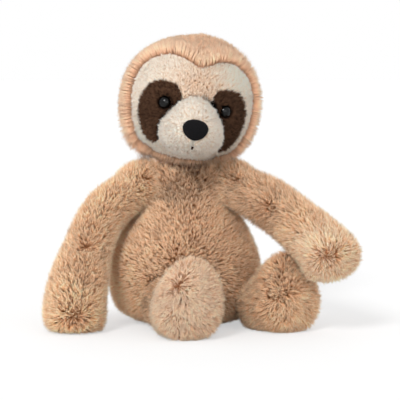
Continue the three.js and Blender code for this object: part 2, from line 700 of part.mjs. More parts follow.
function addHead() {
  const lining = headForm(PLUSH_DEPTH);
  const napShell = headForm(RIM_STEP).subtract(lining);
  const hood = headForm(0).subtract(lining).subtract(neckOpening());
  addHeadPiece('head_hood', hood.subtract(frontPrism(faceOutline(), FIT_GAP)), BEIGE);

  let face = napShell.intersect(frontPrism(faceOutline(), 0)).subtract(muzzleForm(-FIT_GAP));
  for (const side of [-1, 1]) face = face.subtract(frontPrism(patchOutline(side), FIT_GAP));
  addHeadPiece('face_panel', face, CREAM);

  const muzzle = muzzleForm(0).subtract(muzzleForm(NAP_DEPTH)).subtract(lining);
  addHeadPiece('muzzle', muzzle, CREAM);
  addHeadPiece('nose', noseForm().subtract(muzzleForm(-FIT_GAP)), BLACK);
  addHeadPiece('mouth_stitch', stitchForm().subtract(muzzleForm(-FIT_GAP)), DARK_BROWN);

  const filled = PLUSH_DEPTH + FIT_GAP;
  let filling = headForm(filled).add(muzzleForm(NAP_DEPTH + FIT_GAP));
  for (const [name, side] of [['right', -1], ['left', 1]]) {
    const patch = napShell.intersect(frontPrism(patchOutline(side), 0)).subtract(muzzleForm(-FIT_GAP));
    addHeadPiece(`${name}_eye_patch`, patch.subtract(shankHole(side)), DARK_BROWN);
    addHeadPiece(`${name}_eye`, turnedAtEye(eyeProfile(), side), BLACK, GLOSSY);
    addHeadPiece(`${name}_eye_washer`, turnedAtEye(washerProfile(0), side), WASHER_WHITE, SATIN);
    filling = filling.subtract(shankHole(side)).subtract(washerPocket(side));
  }
  addHeadPiece('head_stuffing', filling, WHITE_FIBRE);
}

function addHeadPiece(name, solid, color, roughness) {
  addPiece(name, inHeadFrame(solid), color, roughness);
}

addBody();
addNeckThreads();
addHead();
for (const limb of limbs) {
  addLimb(limb);
  const inwards = new THREE.Vector3(-limb.pivot.x, -limb.pivot.y, 0);
  const thread = threadRing(limb.pivot, limb.rootRadius, inwards, degrees(LIMB_THREAD_ANGLE));
  addPiece(`${limb.name}_seam_thread`, thread, THREAD_TAN);
}

export default part;
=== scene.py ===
import json
from math import ceil, cos, pi, radians, sin, sqrt

import bmesh
import bpy
import numpy as np
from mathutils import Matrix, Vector
from mathutils.kdtree import KDTree

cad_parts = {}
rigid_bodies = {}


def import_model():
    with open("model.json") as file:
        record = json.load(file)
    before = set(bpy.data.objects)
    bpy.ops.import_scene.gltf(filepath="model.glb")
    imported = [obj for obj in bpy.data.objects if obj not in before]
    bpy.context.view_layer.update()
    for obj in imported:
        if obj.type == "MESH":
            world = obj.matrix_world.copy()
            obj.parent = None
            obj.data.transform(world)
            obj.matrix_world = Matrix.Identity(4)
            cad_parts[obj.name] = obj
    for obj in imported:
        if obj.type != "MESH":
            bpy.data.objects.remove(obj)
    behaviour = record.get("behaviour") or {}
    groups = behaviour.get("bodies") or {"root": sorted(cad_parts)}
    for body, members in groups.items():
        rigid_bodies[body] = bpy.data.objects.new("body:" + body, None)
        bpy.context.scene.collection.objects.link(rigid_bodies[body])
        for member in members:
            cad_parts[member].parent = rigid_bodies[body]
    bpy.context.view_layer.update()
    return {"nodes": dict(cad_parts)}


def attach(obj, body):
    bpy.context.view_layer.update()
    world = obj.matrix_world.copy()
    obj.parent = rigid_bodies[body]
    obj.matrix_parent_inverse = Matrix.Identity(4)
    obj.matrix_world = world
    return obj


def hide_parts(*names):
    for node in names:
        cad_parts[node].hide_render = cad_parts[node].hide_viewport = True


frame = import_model()

# Lengths are in millimetres here and become metres when a mesh is made.
MM = 0.001

# ---- fabric
PLUSH_BASE = 4.4  # how far the long plush's backing lies under the CAD's outline
NAP_BASE = 1.5  # the same for the muzzle's backing
PILE_HEIGHT = 6.4  # how far the long pile stands off its backing
PANEL_THICKNESS, SLEEVE_THICKNESS, PLUSH_FILL = 1.2, 1.5, 0.8
BODY_PILE_LENGTH, LIMB_PILE_LENGTH, HOOD_PILE_LENGTH = 8.0, 7.9, 6.6
FACE_NAP_LENGTH, PATCH_NAP_LENGTH, MUZZLE_NAP_LENGTH, NOSE_NAP_LENGTH = 2.2, 3.4, 2.7, 0.7
LONG_STRANDS_LIMIT, SHORT_STRANDS_LIMIT = 19000, 47000  # in one piece
WHORL_FLAT, WHORL_HEART = 0.2, 4.5  # how much flatter the pile is round a whorl, and its heart's reach
THREAD_SINK, NECK_THREAD_SINK = 3.6, 5.4  # how far the seam threads lie under the CAD's
FRINGE_LOCK = 2.0  # width of one lock of the fringe round the face
FRINGE_OVERLAP = 1.2  # how far the fringe's roots reach over the face's edge
CHIN_OVERLAP = 1.8  # how much further they do under the chin
FLOOR_CLEARANCE, LIMB_FLOOR = 0.3, 0.8  # how low the pile and the limbs' backing reach
SOCKET_BARE, ROOT_BARE = 2.5, 1.5  # the body's pile reaches into a socket this far, a limb's this deep

# ---- body
BODY_HEIGHT, BODY_HALF_WIDTH, BODY_HALF_DEPTH, BODY_LEAN = 114.0, 52.5, 45.0, 0.02
FLAT_CUT = 0.5
BODY_SHARES = [
    (0, 0.7, 0.7), (0.05, 0.86, 0.86), (0.14, 0.97, 0.96), (0.28, 1, 1), (0.42, 0.97, 0.97),
    (0.55, 0.87, 0.88), (0.7, 0.71, 0.75), (0.84, 0.59, 0.62), (0.95, 0.54, 0.55), (1, 0.51, 0.52),
]
SIDE_SEAM_Y, SEAT_SEAM_HEIGHT, CHEST_SEAM_X = 6.0, 9.0, 4.0
BELLY_FAN = (-8.0, -40.0, 50.0)  # the pile on the body spreads from here
TURN_HEIGHT, TURN_DROP, TURN_REACH = 102, 13, 6  # above this it turns upwards, lower on the chest's right
SEAM_BEND, SEAM_BEND_HEIGHT, SEAM_BEND_REACH = 4.5, 94, 14  # how its parting along the chest seam bends
PARTING_REACH, PARTING_HEIGHTS = 8, (76, 92)  # how wide the parting is, and where it starts and is full
CHEST_HEIGHTS, COLLAR_HEIGHTS = (78, 92), (99, 109)  # the same for the chest's tufts and the neck's collar
COLLAR_SIDES = (9, 19)  # how far beside the neck's middle the collar gets higher
BODY_WHORLS = [((-8, -37, 95), 9, 0), ((-28, -41, 32), 11, 0), ((14, -36, 90), 7, 0), ((22, -44, 30), 12, 0)]

# ---- neck and head
NECK_POINT = np.array([1.0, -3.0, 150.0])
NECK_DROP, NECK_RADIUS, SOCKET_GAP, SOCKET_CLEARANCE, HOLLOW_CLEARANCE = 13.0, 41.0, 1.6, 0.5, 0.8
HEAD_TURN, HEAD_TILT = radians(7), radians(9)
HEAD_HALF_WIDTH, HEAD_UPPER, HEAD_LOWER = 50.0, 44.0, 46.5
HEAD_FRONT, HEAD_BACK = 44.0, 42.0
HEAD_SHARES = [
    (-1, 0.3, 0.3), (-0.93, 0.57, 0.57), (-0.8, 0.77, 0.77), (-0.6, 0.91, 0.91), (-0.3, 0.99, 0.99), (0, 1, 1),
    (0.27, 0.95, 0.96), (0.53, 0.84, 0.86), (0.75, 0.67, 0.7), (0.91, 0.46, 0.48), (1, 0.16, 0.17),
]
FACE_SHARES = [
    (0, 0.46), (0.1, 0.5), (0.25, 0.57), (0.42, 0.59), (0.6, 0.52), (0.75, 0.38), (0.85, 0.12), (0.86, -0.15),
    (0.8, -0.46), (0.66, -0.74), (0.45, -0.91), (0.18, -0.98),
]
PATCH_SHARES = [
    (0.2, -0.04), (0.27, 0.11), (0.44, 0.165), (0.6, 0.12), (0.7, -0.04), (0.73, -0.25), (0.67, -0.5),
    (0.55, -0.69), (0.43, -0.73), (0.36, -0.56), (0.3, -0.36), (0.24, -0.18),
]
FACE_BACK_Y = -12.0
MUZZLE_HALF_WIDTH, MUZZLE_HALF_HEIGHT, MUZZLE_TAPER = 22.0, 21.5, 0.3
MUZZLE_Z, MUZZLE_ROOT_Y, MUZZLE_REACH = -20.0, -26.0, 35.0
MUZZLE_TIP_Y, MUZZLE_SEAT = MUZZLE_ROOT_Y - MUZZLE_REACH, 0.6  # the seat: how far the face's nap reaches under it
MUZZLE_SHARES = [(0, 0.97), (0.35, 1), (0.58, 0.94), (0.76, 0.79), (0.9, 0.56), (0.98, 0.26), (1.0, 0.02)]
NOSE_HALF = np.array([8.9, 6.0, 7.3])
NOSE_TAPER, NOSE_DROP, NOSE_SINK = 0.15, 1.5, 3.0
EYE_X, EYE_Z, EYE_RADIUS, EYE_HEIGHT = 21.4, -6.4, 4.2, 3.2
EYE_STEP = 3.0  # how far the eyes' seats lie inside the head's outline
EYE_RIM, EYE_SHANK_RADIUS, EYE_SHANK_DEPTH, EYE_BARE = 0.3, 1.5, 13.0, 0.2
STITCH_Y, STITCH_DROP, STITCH_RADIUS, STITCH_TURNS = -55.6, 14.2, 0.36, 3
FACE_NAP_Y, HOOD_NAP_Y, FACE_MIDDLE_Z = -45, -60, -8  # the face's nap and the hood's pile spread from here
CROWN_HEIGHTS, BACK_DEPTHS = (14, 26), (-14, 18)  # where the hood's pile becomes the crown's and the back's
LOW_DROPS, JOWL_DROPS, CHIN_DROPS = (8, 34), (22, 38), (34, 43)  # the same downwards, beside the face
HOOD_PILE_FLOOR = -50  # under this, round the neck, the hood is bare

# ---- limbs
ARM_ROOT, PAW_ROUND, ARM_LENGTH = 17.0, 13.0, 120.0
ARM_SHARES = [(0, 1), (0.07, 0.9), (0.2, 0.92), (0.45, 0.97), (0.7, 1.08), (0.9, 1.2), (1, 1.2)]
RIGHT_SHOULDER, LEFT_SHOULDER = (-35, -8, 97), (35, -6, 98)
RIGHT_ARM_SHARES = [
    (0, 0, 0), (-0.175, -0.1, -0.121), (-0.283, -0.217, -0.317), (-0.34, -0.317, -0.55), (-0.358, -0.367, -0.838),
]
LEFT_ARM_SHARES = [
    (0, 0, 0), (0.2, -0.192, -0.092), (0.3625, -0.383, -0.196), (0.5, -0.542, -0.3125), (0.596, -0.658, -0.442),
]
LEG_ROOT, LEG_LIFT, LEG_LENGTH, FOOT_HALF_WIDTH, FOOT_HALF_HEIGHT = 18.0, 2.5, 60.0, 23.5, 29.5
FOOT_TAPER, FOOT_PRESS = 0.16, 3.0
LEG_SHARES = [
    (0, 0.77, 0.6, 1, 0), (0.15, 0.66, 0.55, 1, 0), (0.35, 0.745, 0.63, 0, 0.5), (0.55, 0.92, 0.86, 0, 1),
    (0.75, 1, 1, 0, 1), (1, 1, 1, 0, 1),
]
SOLE_ROUND, FOOT_ROLL = 14.0, radians(8)
HIP_Z = LEG_ROOT + LEG_LIFT - FLAT_CUT
RIGHT_HIP, LEFT_HIP = (-12, -42, HIP_Z), (44, -12, HIP_Z)
RIGHT_HEADING, LEFT_HEADING = radians(19), radians(35)
ROOT_RINGS, TIP_RINGS = 8, 15

# Each limb's pile: the whorls that it spreads from (place, reach, how much longer it is there) and how
# flat it lies round them, where painted light makes it paler and, with a height below zero, painted shade
# makes it darker (place, reach, by how much), and where it shows pale tips, partly painted light (place, reach,
# share of the strands).
NAPS = {
    "right_arm": dict(
        whorls=[((-26, -25, 107), 8, 0), ((-58, -44, 82), 9, 0), ((-69, -52, 61), 9, 0), ((-77, -66, 14), 20, 1)],
        pale=[((-77, -66, 14), 20, 1.4), ((-50, -20, 98), 24, 0.9)],
    ),
    "left_arm": dict(
        whorls=[((36, -24, 106), 9, 0), ((59, -46, 88), 11, 0), ((95, -92, 58), 20, 1)],
        pale=[((95, -92, 58), 26, 1.0), ((50, -30, 90), 26, -1.0)],
        tips=[((95, -92, 58), 26, 0.5)],
    ),
    "right_leg": dict(
        whorls=[((-5, -100, 39), 30, 2.5)],
        flat=0.5,
        pale=[((-5, -100, 30), 30, 0.2), ((-29, -50, 22), 13, -2.5)],
        tips=[((-3, -100, 30), 34, 0.85)],
    ),
    "left_leg": dict(whorls=[((72, -66, 29), 28, 2)], pale=[((84, -66, 14), 18, 0.8)]),
}
# where the filling presses the plush out or lets it sink in: place, reach and height
BULGES = {
    "torso": [
        ((-50, -5, 38), 26, 2.6), ((-22, -4, 108), 8, 3.0), ((23, -4, 109), 9, 3.5), ((-42, -26, 52), 18, 3.0),
        ((-26, -10, 110), 14, 3.0), ((28, -8, 111), 12, 2.5), ((48, -16, 22), 20, 1.5),
    ],
    "right_arm": [
        ((-33, -12, 114), 15, 1.6), ((-25, -10, 112), 9, 5.0), ((-86, -35, 66), 18, -1.4),
        ((-99, -55, 26), 20, 2.0), ((-62, -54, 36), 24, 2.0),
    ],
    "left_arm": [((60, -30, 100), 26, 2.4), ((26, -8, 113), 11, 5.5)],
    "right_leg": [((-26, -52, 6), 14, 3.5), ((-31, -56, 27), 13, -5.0)],
    "left_leg": [((97, -48, 12), 18, 2.6), ((52, -40, 8), 16, 2.5)],
    "head": [((14, -5, 42), 17, 2.0), ((-22, -5, 38), 17, -1.5)],
}

# ---- amounts of strands, before those outside their zone are dropped
BODY_STRANDS, HOOD_STRANDS, FACE_STRANDS, MUZZLE_STRANDS, NOSE_STRANDS = 101000, 80000, 300000, 34000, 9000
LIMB_STRANDS = {"right_arm": 46000, "left_arm": 44000, "right_leg": 36000, "left_leg": 34000}
BODY_SEED, LIMB_SEED, HEAD_SEED, MUZZLE_SEED, NOSE_SEED = 11, 20, 31, 41, 43

# ---- stage
WHITE = (1, 1, 1, 1)
WORLD_LEVELS = [(0.0, 1.0), (0.3, 0.98), (0.7, 0.74), (1.0, 0.62)]  # the light's strength by height
# each lamp's direction, strength and width in degrees
SUNS = {
    "key": ((0.38, 1.0, -0.72), 2.06, 16.0),
    "fill": ((-0.32, 1.0, 0.0), 1.0, 60.0),
    "back": ((0.2, -1.0, 0.0), 1.5, 60.0),
}
FLOOR_HALF, FLOOR_TONE, FLOOR_LIFT, FLOOR_BOUNCE = 6.0, 0.42, 0.52, 0.85
CAMERA_PLACE, CAMERA_AIM = Vector((0.010, -1.450, 0.215)), Vector((0.010, 0, 0.088))
SENSOR_WIDTH, VIEW_WIDTH = 36, 0.288  # the view's width is at the aim


# ---- curves and tables
def catmull(points, t, closed=False):
    """Points of a centripetal Catmull-Rom curve at t, from 0 to 1."""
    p = np.asarray(points, float)
    spans = len(p) if closed else len(p) - 1
    p = np.vstack([p[-1], p, p[:2]] if closed else [2 * p[0] - p[1], p, 2 * p[-1] - p[-2]])
    s = np.clip(t * spans, 0, spans - 1e-9)
    i = np.floor(s).astype(int)
    p0, p1, p2, p3 = (p[i + k] for k in range(4))
    d0, d1, d2 = (
        np.maximum(sizes(b - a, True), 1e-6) ** 0.5 for a, b in ((p0, p1), (p1, p2), (p2, p3))
    )
    t1 = ((p1 - p0) / d0 - (p2 - p0) / (d0 + d1) + (p2 - p1) / d1) * d1
    t2 = ((p2 - p1) / d1 - (p3 - p1) / (d1 + d2) + (p3 - p2) / d2) * d1
    w = (s - i)[:, None]
    return p1 + t1 * w + (-3 * p1 + 3 * p2 - 2 * t1 - t2) * w**2 + (2 * p1 - 2 * p2 + t1 + t2) * w**3


def sizes(v, keepdims=False):
    return np.linalg.norm(v, axis=-1, keepdims=keepdims)


def unit(v):
    return v / np.maximum(sizes(v, True), 1e-9)


def dot(a, b):
    return (a * b).sum(-1, keepdims=True)


def square_to(v, n):
    """The part of each vector that is square to n."""
    return v - n * dot(v, n)


def xyz(x, y, z):
    """Vectors from their three parts, each an array or a number."""
    return np.stack(np.broadcast_arrays(x, y, z), -1)


def ease(x, low, high):
    t = np.clip((np.asarray(x, float) - low) / (high - low), 0, 1)
    return t * t * (3 - 2 * t)


def bell(*shares):
    """A bell curve over one or more ways out, each in shares of its reach."""
    return np.exp(-sum(share**2 for share in shares))


def spots(points, table, power=1):
    """The sum of soft spots on points: each has a place, a reach and a height."""
    return sum(height * bell((sizes(points - place) / reach) ** power) for place, reach, height in table)


def around(columns):
    return np.linspace(0, 2 * np.pi, columns, endpoint=False)


def share_row(table, place):
    """The table's other columns at a place, eased between its rows."""
    rows = np.array(table, float)
    i = np.clip(np.searchsorted(rows[:, 0], place) - 1, 0, len(rows) - 2)
    w = ease(place, rows[i, 0], rows[i + 1, 0])
    return rows[i, 1:] * (1 - w) + rows[i + 1, 1:] * w


# ---- surfaces as grids: rows along, columns round
def closing_rows(ring, rise):
    """Rows that close a grid's end, from its last ring inwards."""
    centre = ring.mean(0)
    shares = (0.84, 0.62, 0.4, 0.2, 0.03)
    return np.array([centre + (ring - centre) * s + [0, 0, rise * (1 - s * s)] for s in shares])


def body_grid(inset, rows=90, columns=150):
    table = catmull(BODY_SHARES, np.linspace(0, 1, rows))
    a = around(columns)
    z = (inset - FLAT_CUT) + table[:, 0] * (BODY_HEIGHT - inset - (inset - FLAT_CUT))
    w = BODY_HALF_WIDTH * table[:, 1] - inset
    d = BODY_HALF_DEPTH * table[:, 2] - inset
    y0 = BODY_LEAN * BODY_HEIGHT * table[:, 0]
    grid = xyz(w[:, None] * np.cos(a), y0[:, None] + d[:, None] * np.sin(a), z[:, None])
    return np.concatenate([closing_rows(grid[0], 0.0)[::-1], grid])


def head_grid(inset, rows=110, columns=180):
    """The head in its own frame, with the round underside."""
    table = catmull(HEAD_SHARES, np.linspace(0, 1, rows))
    a = around(columns)
    reach = np.where(table[:, 0] < 0, HEAD_LOWER, HEAD_UPPER) - inset
    x = (HEAD_HALF_WIDTH - inset) * table[:, 1, None] * np.cos(a)
    y = table[:, 2, None] * np.sin(a)
    y = y * (np.where(y < 0, HEAD_FRONT, HEAD_BACK) - inset)
    grid = xyz(x, y, (table[:, 0] * reach)[:, None])
    ball = [0, 0, -NECK_DROP]
    away = grid - ball
    grid = ball + away * np.maximum(1, (NECK_RADIUS - inset) / sizes(away, True))
    return np.concatenate([grid, closing_rows(grid[-1], 0.6)])


def muzzle_grid(inset, rows=44, columns=90):
    table = catmull(MUZZLE_SHARES, np.linspace(0, 1, rows) ** 0.85)
    a = around(columns)
    y = MUZZLE_ROOT_Y - table[:, 0] * (MUZZLE_REACH - inset)
    w = np.maximum((MUZZLE_HALF_WIDTH - inset) * table[:, 1], 0.1)
    h = np.maximum((MUZZLE_HALF_HEIGHT - inset) * table[:, 1], 0.1)
    x = w[:, None] * np.cos(a) * (1 - MUZZLE_TAPER * np.sin(a))
    z = MUZZLE_Z + h[:, None] * np.sin(a)
    # below the nose the muzzle is drawn in along a short seam
    below = ease(MUZZLE_Z - z, 6, 9) * (1 - ease(MUZZLE_Z - z, 15, 20))
    return xyz(x, y[:, None] + 1.5 * bell(x / 1.5) * below, z)


def limb_grid(limb, inset, rows=90, columns=72):
    pivot = limb["pivot"]
    path = catmull(limb["line"] + pivot, np.linspace(0, 1, 2001))
    steps = np.concatenate([[0], np.cumsum(sizes(np.diff(path, axis=0)))])
    length = steps[-1]
    tip_start, tip_reach = length - limb["round"], limb["round"] - inset
    heads = unit(np.gradient(path, axis=0))
    root = limb["root"] - inset
    a = around(columns)[:, None]
    out = []

    def loop(centre, heading, across, up, roll=0.0, taper=0.0):
        upward = unit(limb["upward"] - heading * (limb["upward"] @ heading))
        side = np.cross(upward, heading)
        c, s = cos(roll), sin(roll)
        side, upward = side * c + upward * -s, upward * c + side * s
        out.append(centre + side * across * np.cos(a) * (1 - taper * np.sin(a)) + upward * up * np.sin(a))

    def ring(along, scale):
        share = along / length
        centre, heading = (np.array([np.interp(along, steps, v[:, k]) for k in range(3)]) for v in (path, heads))
        across, up, rise, taper = limb["section"](share)
        centre[2] += rise
        roll = limb["roll"] * float(ease(share, 0, 1))
        loop(centre, unit(heading), (across - inset) * scale, (up - inset) * scale, roll, taper)

    for i in range(ROOT_RINGS):
        angle = (i + 0.15) / ROOT_RINGS * pi / 2
        r = root * sin(angle)
        loop(pivot - heads[0] * root * cos(angle), heads[0], r, r)
    tube = rows - ROOT_RINGS - TIP_RINGS - 1
    for i in range(tube + 1):
        ring(tip_start * i / tube, 1)
    for i in range(1, TIP_RINGS + 1):
        angle = i / (TIP_RINGS + 0.3) * pi / 2
        ring(tip_start + tip_reach * sin(angle), cos(angle))
    return np.array(out)


def limb_shape(name, pivot, line, section, upward, roll, root, tip_round):
    pivot, upward = (np.array(v, float) for v in (pivot, upward))
    return dict(
        name=name, pivot=pivot, line=line, section=section, upward=upward, roll=roll, root=root, round=tip_round
    )


def arm(name, pivot, shares):
    def section(share):
        r = share_row(ARM_SHARES, share)[0] * ARM_ROOT
        return r, r, 0.0, 0.0

    line = np.array(shares) * ARM_LENGTH
    return limb_shape(name, pivot, line, section, (0, 1, 0), 0.0, ARM_ROOT, PAW_ROUND)


def leg(name, pivot, heading, roll):
    def section(share):
        wide, high, lift, taper = share_row(LEG_SHARES, share)
        up = high * FOOT_HALF_HEIGHT
        bottom = lift * (LEG_LIFT - FLAT_CUT) - (1 - lift) * FOOT_PRESS
        return wide * FOOT_HALF_WIDTH, up, bottom + up - HIP_Z, taper * FOOT_TAPER

    ahead = np.array([sin(heading), -cos(heading), 0])
    line = np.array([ahead * LEG_LENGTH * s for s in (0, 0.5, 1)])
    return limb_shape(name, pivot, line, section, (0, 0, 1), roll, LEG_ROOT, SOLE_ROUND)


LIMBS = [
    arm("right_arm", RIGHT_SHOULDER, RIGHT_ARM_SHARES),
    arm("left_arm", LEFT_SHOULDER, LEFT_ARM_SHARES),
    leg("right_leg", RIGHT_HIP, RIGHT_HEADING, FOOT_ROLL),
    leg("left_leg", LEFT_HIP, LEFT_HEADING, -FOOT_ROLL),
]

TURN_COS, TURN_SIN = cos(HEAD_TURN), sin(HEAD_TURN)
TILT_COS, TILT_SIN = cos(HEAD_TILT), sin(HEAD_TILT)
HEAD_ROT = np.array([[TURN_COS, -TURN_SIN, 0], [TURN_SIN, TURN_COS, 0], [0, 0, 1]]) @ np.array(
    [[TILT_COS, 0, TILT_SIN], [0, 1, 0], [-TILT_SIN, 0, TILT_COS]]
)


def placed(points, body):
    """Points in the row frame. Those of the head are given in the head's own frame."""
    if body != "head":
        return points
    return NECK_POINT + (points + [0, 0, NECK_DROP]) @ HEAD_ROT.T


# ---- outlines on the face
def outline(points, steps=8):
    p = np.array(points, float) * [HEAD_HALF_WIDTH, HEAD_LOWER]
    return catmull(p, np.linspace(0, 1, steps * len(p), endpoint=False), closed=True)


FACE_OUTLINE = outline(FACE_SHARES + [(-x, z) for x, z in FACE_SHARES[:0:-1]])
RIGHT_PATCH_OUTLINE, LEFT_PATCH_OUTLINE = (outline([(side * x, z) for x, z in PATCH_SHARES]) for side in (-1, 1))


def outline_distance(points, line):
    """Signed distance of 2D points to a closed outline: negative inside."""
    x, y = points.T
    best, inside = np.full(len(x), 1e9), np.zeros(len(x), bool)
    for (ax, ay), (bx, by) in zip(line, np.roll(line, -1, 0)):
        ex, ey, px, py = bx - ax, by - ay, x - ax, y - ay
        t = np.clip((px * ex + py * ey) / (ex * ex + ey * ey + 1e-12), 0, 1)
        best = np.minimum(best, (px - t * ex) ** 2 + (py - t * ey) ** 2)
        if ey:
            inside ^= ((ay > y) != (by > y)) & (x < ex * py / ey + ax)
    return np.sqrt(best) * np.where(inside, -1, 1)


# ---- meshes
def add_object(name, data):
    obj = bpy.data.objects.new(name, data)
    bpy.context.scene.collection.objects.link(obj)
    return obj


def new_mesh(name, co, faces, look, uv=None, floats=None):
    """co in millimetres, faces as a list of (n, k) arrays of corners."""
    mesh = bpy.data.meshes.new(name)
    mesh.vertices.add(len(co))
    mesh.vertices.foreach_set("co", (np.asarray(co, np.float32) * MM).ravel())
    corners = np.concatenate([group.ravel() for group in faces]).astype(np.int32)
    sizes = np.concatenate([np.full(len(group), group.shape[1]) for group in faces])
    starts = np.concatenate([[0], np.cumsum(sizes)[:-1]]).astype(np.int32)
    mesh.loops.add(len(corners))
    mesh.loops.foreach_set("vertex_index", corners)
    mesh.polygons.add(len(sizes))
    mesh.polygons.foreach_set("loop_start", starts)
    mesh.update(calc_edges=True)
    mesh.shade_smooth()
    if uv is not None:
        mesh.uv_layers.new(name="OFBake").data.foreach_set("uv", uv.astype(np.float32).ravel())
    for key, values in (floats or {}).items():
        mesh.attributes.new(key, "FLOAT", "POINT").data.foreach_set("value", values.astype(np.float32))
    mesh.materials.append(look)
    return add_object(name, mesh)


def declare(obj, body, node=None):
    """Attaches a piece to what it rides on, and hides the CAD node that it stands for."""
    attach(obj, body)
    if node:
        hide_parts(node)


def grid_faces(rows, columns, keep=None):
    r, c = np.divmod(np.arange((rows - 1) * columns), columns)
    low, n = r * columns, (c + 1) % columns
    quads = np.stack([low + c, low + n, low + columns + n, low + columns + c], -1)
    return quads if keep is None else quads[keep.ravel()]


def face_middles(grid):
    after = np.roll(grid, -1, 1)
    return (grid[:-1] + grid[1:] + after[:-1] + after[1:]) / 4


def grid_normals(grid):
    along = np.gradient(grid, axis=0)
    return unit(np.cross(np.roll(grid, -1, 1) - np.roll(grid, 1, 1), along)), unit(along)


def filled_out(grid, name):
    """Moves a surface along its normals where the filling presses it out, or where it sinks in."""
    return grid + grid_normals(grid)[0] * spots(grid, BULGES[name])[..., None]


def apply_modifiers(obj):
    bpy.context.view_layer.update()
    graph = bpy.context.evaluated_depsgraph_get()
    mesh = bpy.data.meshes.new_from_object(obj.evaluated_get(graph))
    old = obj.data
    obj.modifiers.clear()
    obj.data = mesh
    bpy.data.meshes.remove(old)
    mesh.name = obj.name


def shell(node, body, look, grid, keep=None, thickness=PANEL_THICKNESS):
    """A CAD node's closed skin: the kept faces of a grid, an inner surface and a rim."""
    faces = grid_faces(*grid.shape[:2], keep)
    used = np.unique(faces)
    remap = np.full(grid[..., 0].size, -1)
    remap[used] = np.arange(len(used))
    co = placed(grid.reshape(-1, 3), body)
    obj = new_mesh(node.removesuffix("_skin") + "_plush", co[used], [remap[faces]], look)
    solid = obj.modifiers.new("thickness", "SOLIDIFY")
    solid.thickness = thickness * MM
    solid.offset = -1
    apply_modifiers(obj)
    declare(obj, body, node)


# ---- pile
def sample(grid, count, rng):
    """Points spread evenly over a grid, with their normals, the way along and their density."""
    columns = grid.shape[1]
    normals, along = grid_normals(grid)
    area = sizes(np.cross(grid[1:] - grid[:-1], np.roll(grid, -1, 1)[:-1] - grid[:-1])).ravel()
    pick = np.searchsorted(np.cumsum(area) / area.sum(), (np.arange(count) + rng.random(count)) / count)
    r, c = np.divmod(np.minimum(pick, len(area) - 1), columns)
    n = (c + 1) % columns
    u, v = rng.random((2, count, 1))

    def mix(a):
        return (a[r, c] * (1 - u) + a[r + 1, c] * u) * (1 - v) + (a[r, n] * (1 - u) + a[r + 1, n] * u) * v

    return mix(grid), unit(mix(normals)), unit(mix(along)), count / area.sum()


def nearest(points, places):
    """For each place, which of the points is nearest."""
    tree = KDTree(len(points))
    for k, point in enumerate(points):
        tree.insert(point, k)
    tree.balance()
    return np.array([tree.find(place)[1] for place in places])


def grow(p, normals, combs, length, lean, density, rng, clump=0.95, pull=0.6, jitter=0.56, curl=0.24,
         spread=0.15, radius=0.155, uneven=0.14, loose=0.24, tufty=0.32):
    """Strands from points: each leans along its comb, and neighbours gather into tufts.
    Returns each strand's middle, tip, radius and a tone that a tuft shares."""
    n = len(p)
    combs = unit(square_to(combs, normals))
    side = np.cross(normals, combs)
    m = max(4, int(n / (density * clump**2)))
    centres = rng.permutation(n)[:m]
    home = nearest(p[centres], p)
    turn = rng.normal(0, jitter, m)[home] + rng.normal(0, loose, n)
    tilt = rng.normal(0, tufty, m)[home] + rng.normal(0, spread, n)
    way = combs * np.cos(turn)[:, None] + side * np.sin(turn)[:, None]
    lean = np.clip(lean + tilt, 0.05, 1.4)
    length = length * (1 + rng.normal(0, uneven, m))[home] * (1 + rng.normal(0, 0.12, n))

    def half(angle):
        return (normals * np.cos(angle)[:, None] + way * np.sin(angle)[:, None]) * (0.5 * length)[:, None]

    mid = p + half(np.maximum(lean - curl, 0.02))
    tip = mid + half(np.minimum(lean + curl, 1.5))
    # tips gather towards the middle of their tuft
    offset = p - p[centres][home]
    offset = offset * np.minimum(1, 1.6 * clump / np.maximum(sizes(offset, True), 1e-6))
    offset = offset - way * dot(offset, way) * 0.7
    tip = tip - offset * pull
    mid = mid - offset * pull * 0.35
    tone = 0.6 * rng.normal(0, 1, m)[home] + 0.4 * rng.normal(0, 1, n)
    return mid, tip, radius * (1 + rng.normal(0, 0.15, n)), tone


def settle(mid, tip, p, n, height, rng):
    """Bends strands that would stand further off the backing than the pile's height."""
    height = height * (1 + rng.normal(0, 0.13, len(p))) * np.where(rng.random(len(p)) < 0.05, 1.25, 1)
    for part, near, share in zip((mid, tip), np.split(nearest(p, np.vstack([mid, tip])), 2), (0.75, 1.0)):
        over = dot(part - p[near], n[near])[:, 0] - height * share
        part -= n[near] * np.maximum(over, 0)[:, None]


def clear_floor(mid, tip):
    """Pile that would reach below the surface that the toy sits on is bent along it."""
    for part in (mid, tip):
        part[:, 2] = np.maximum(part[:, 2], FLOOR_CLEARANCE)


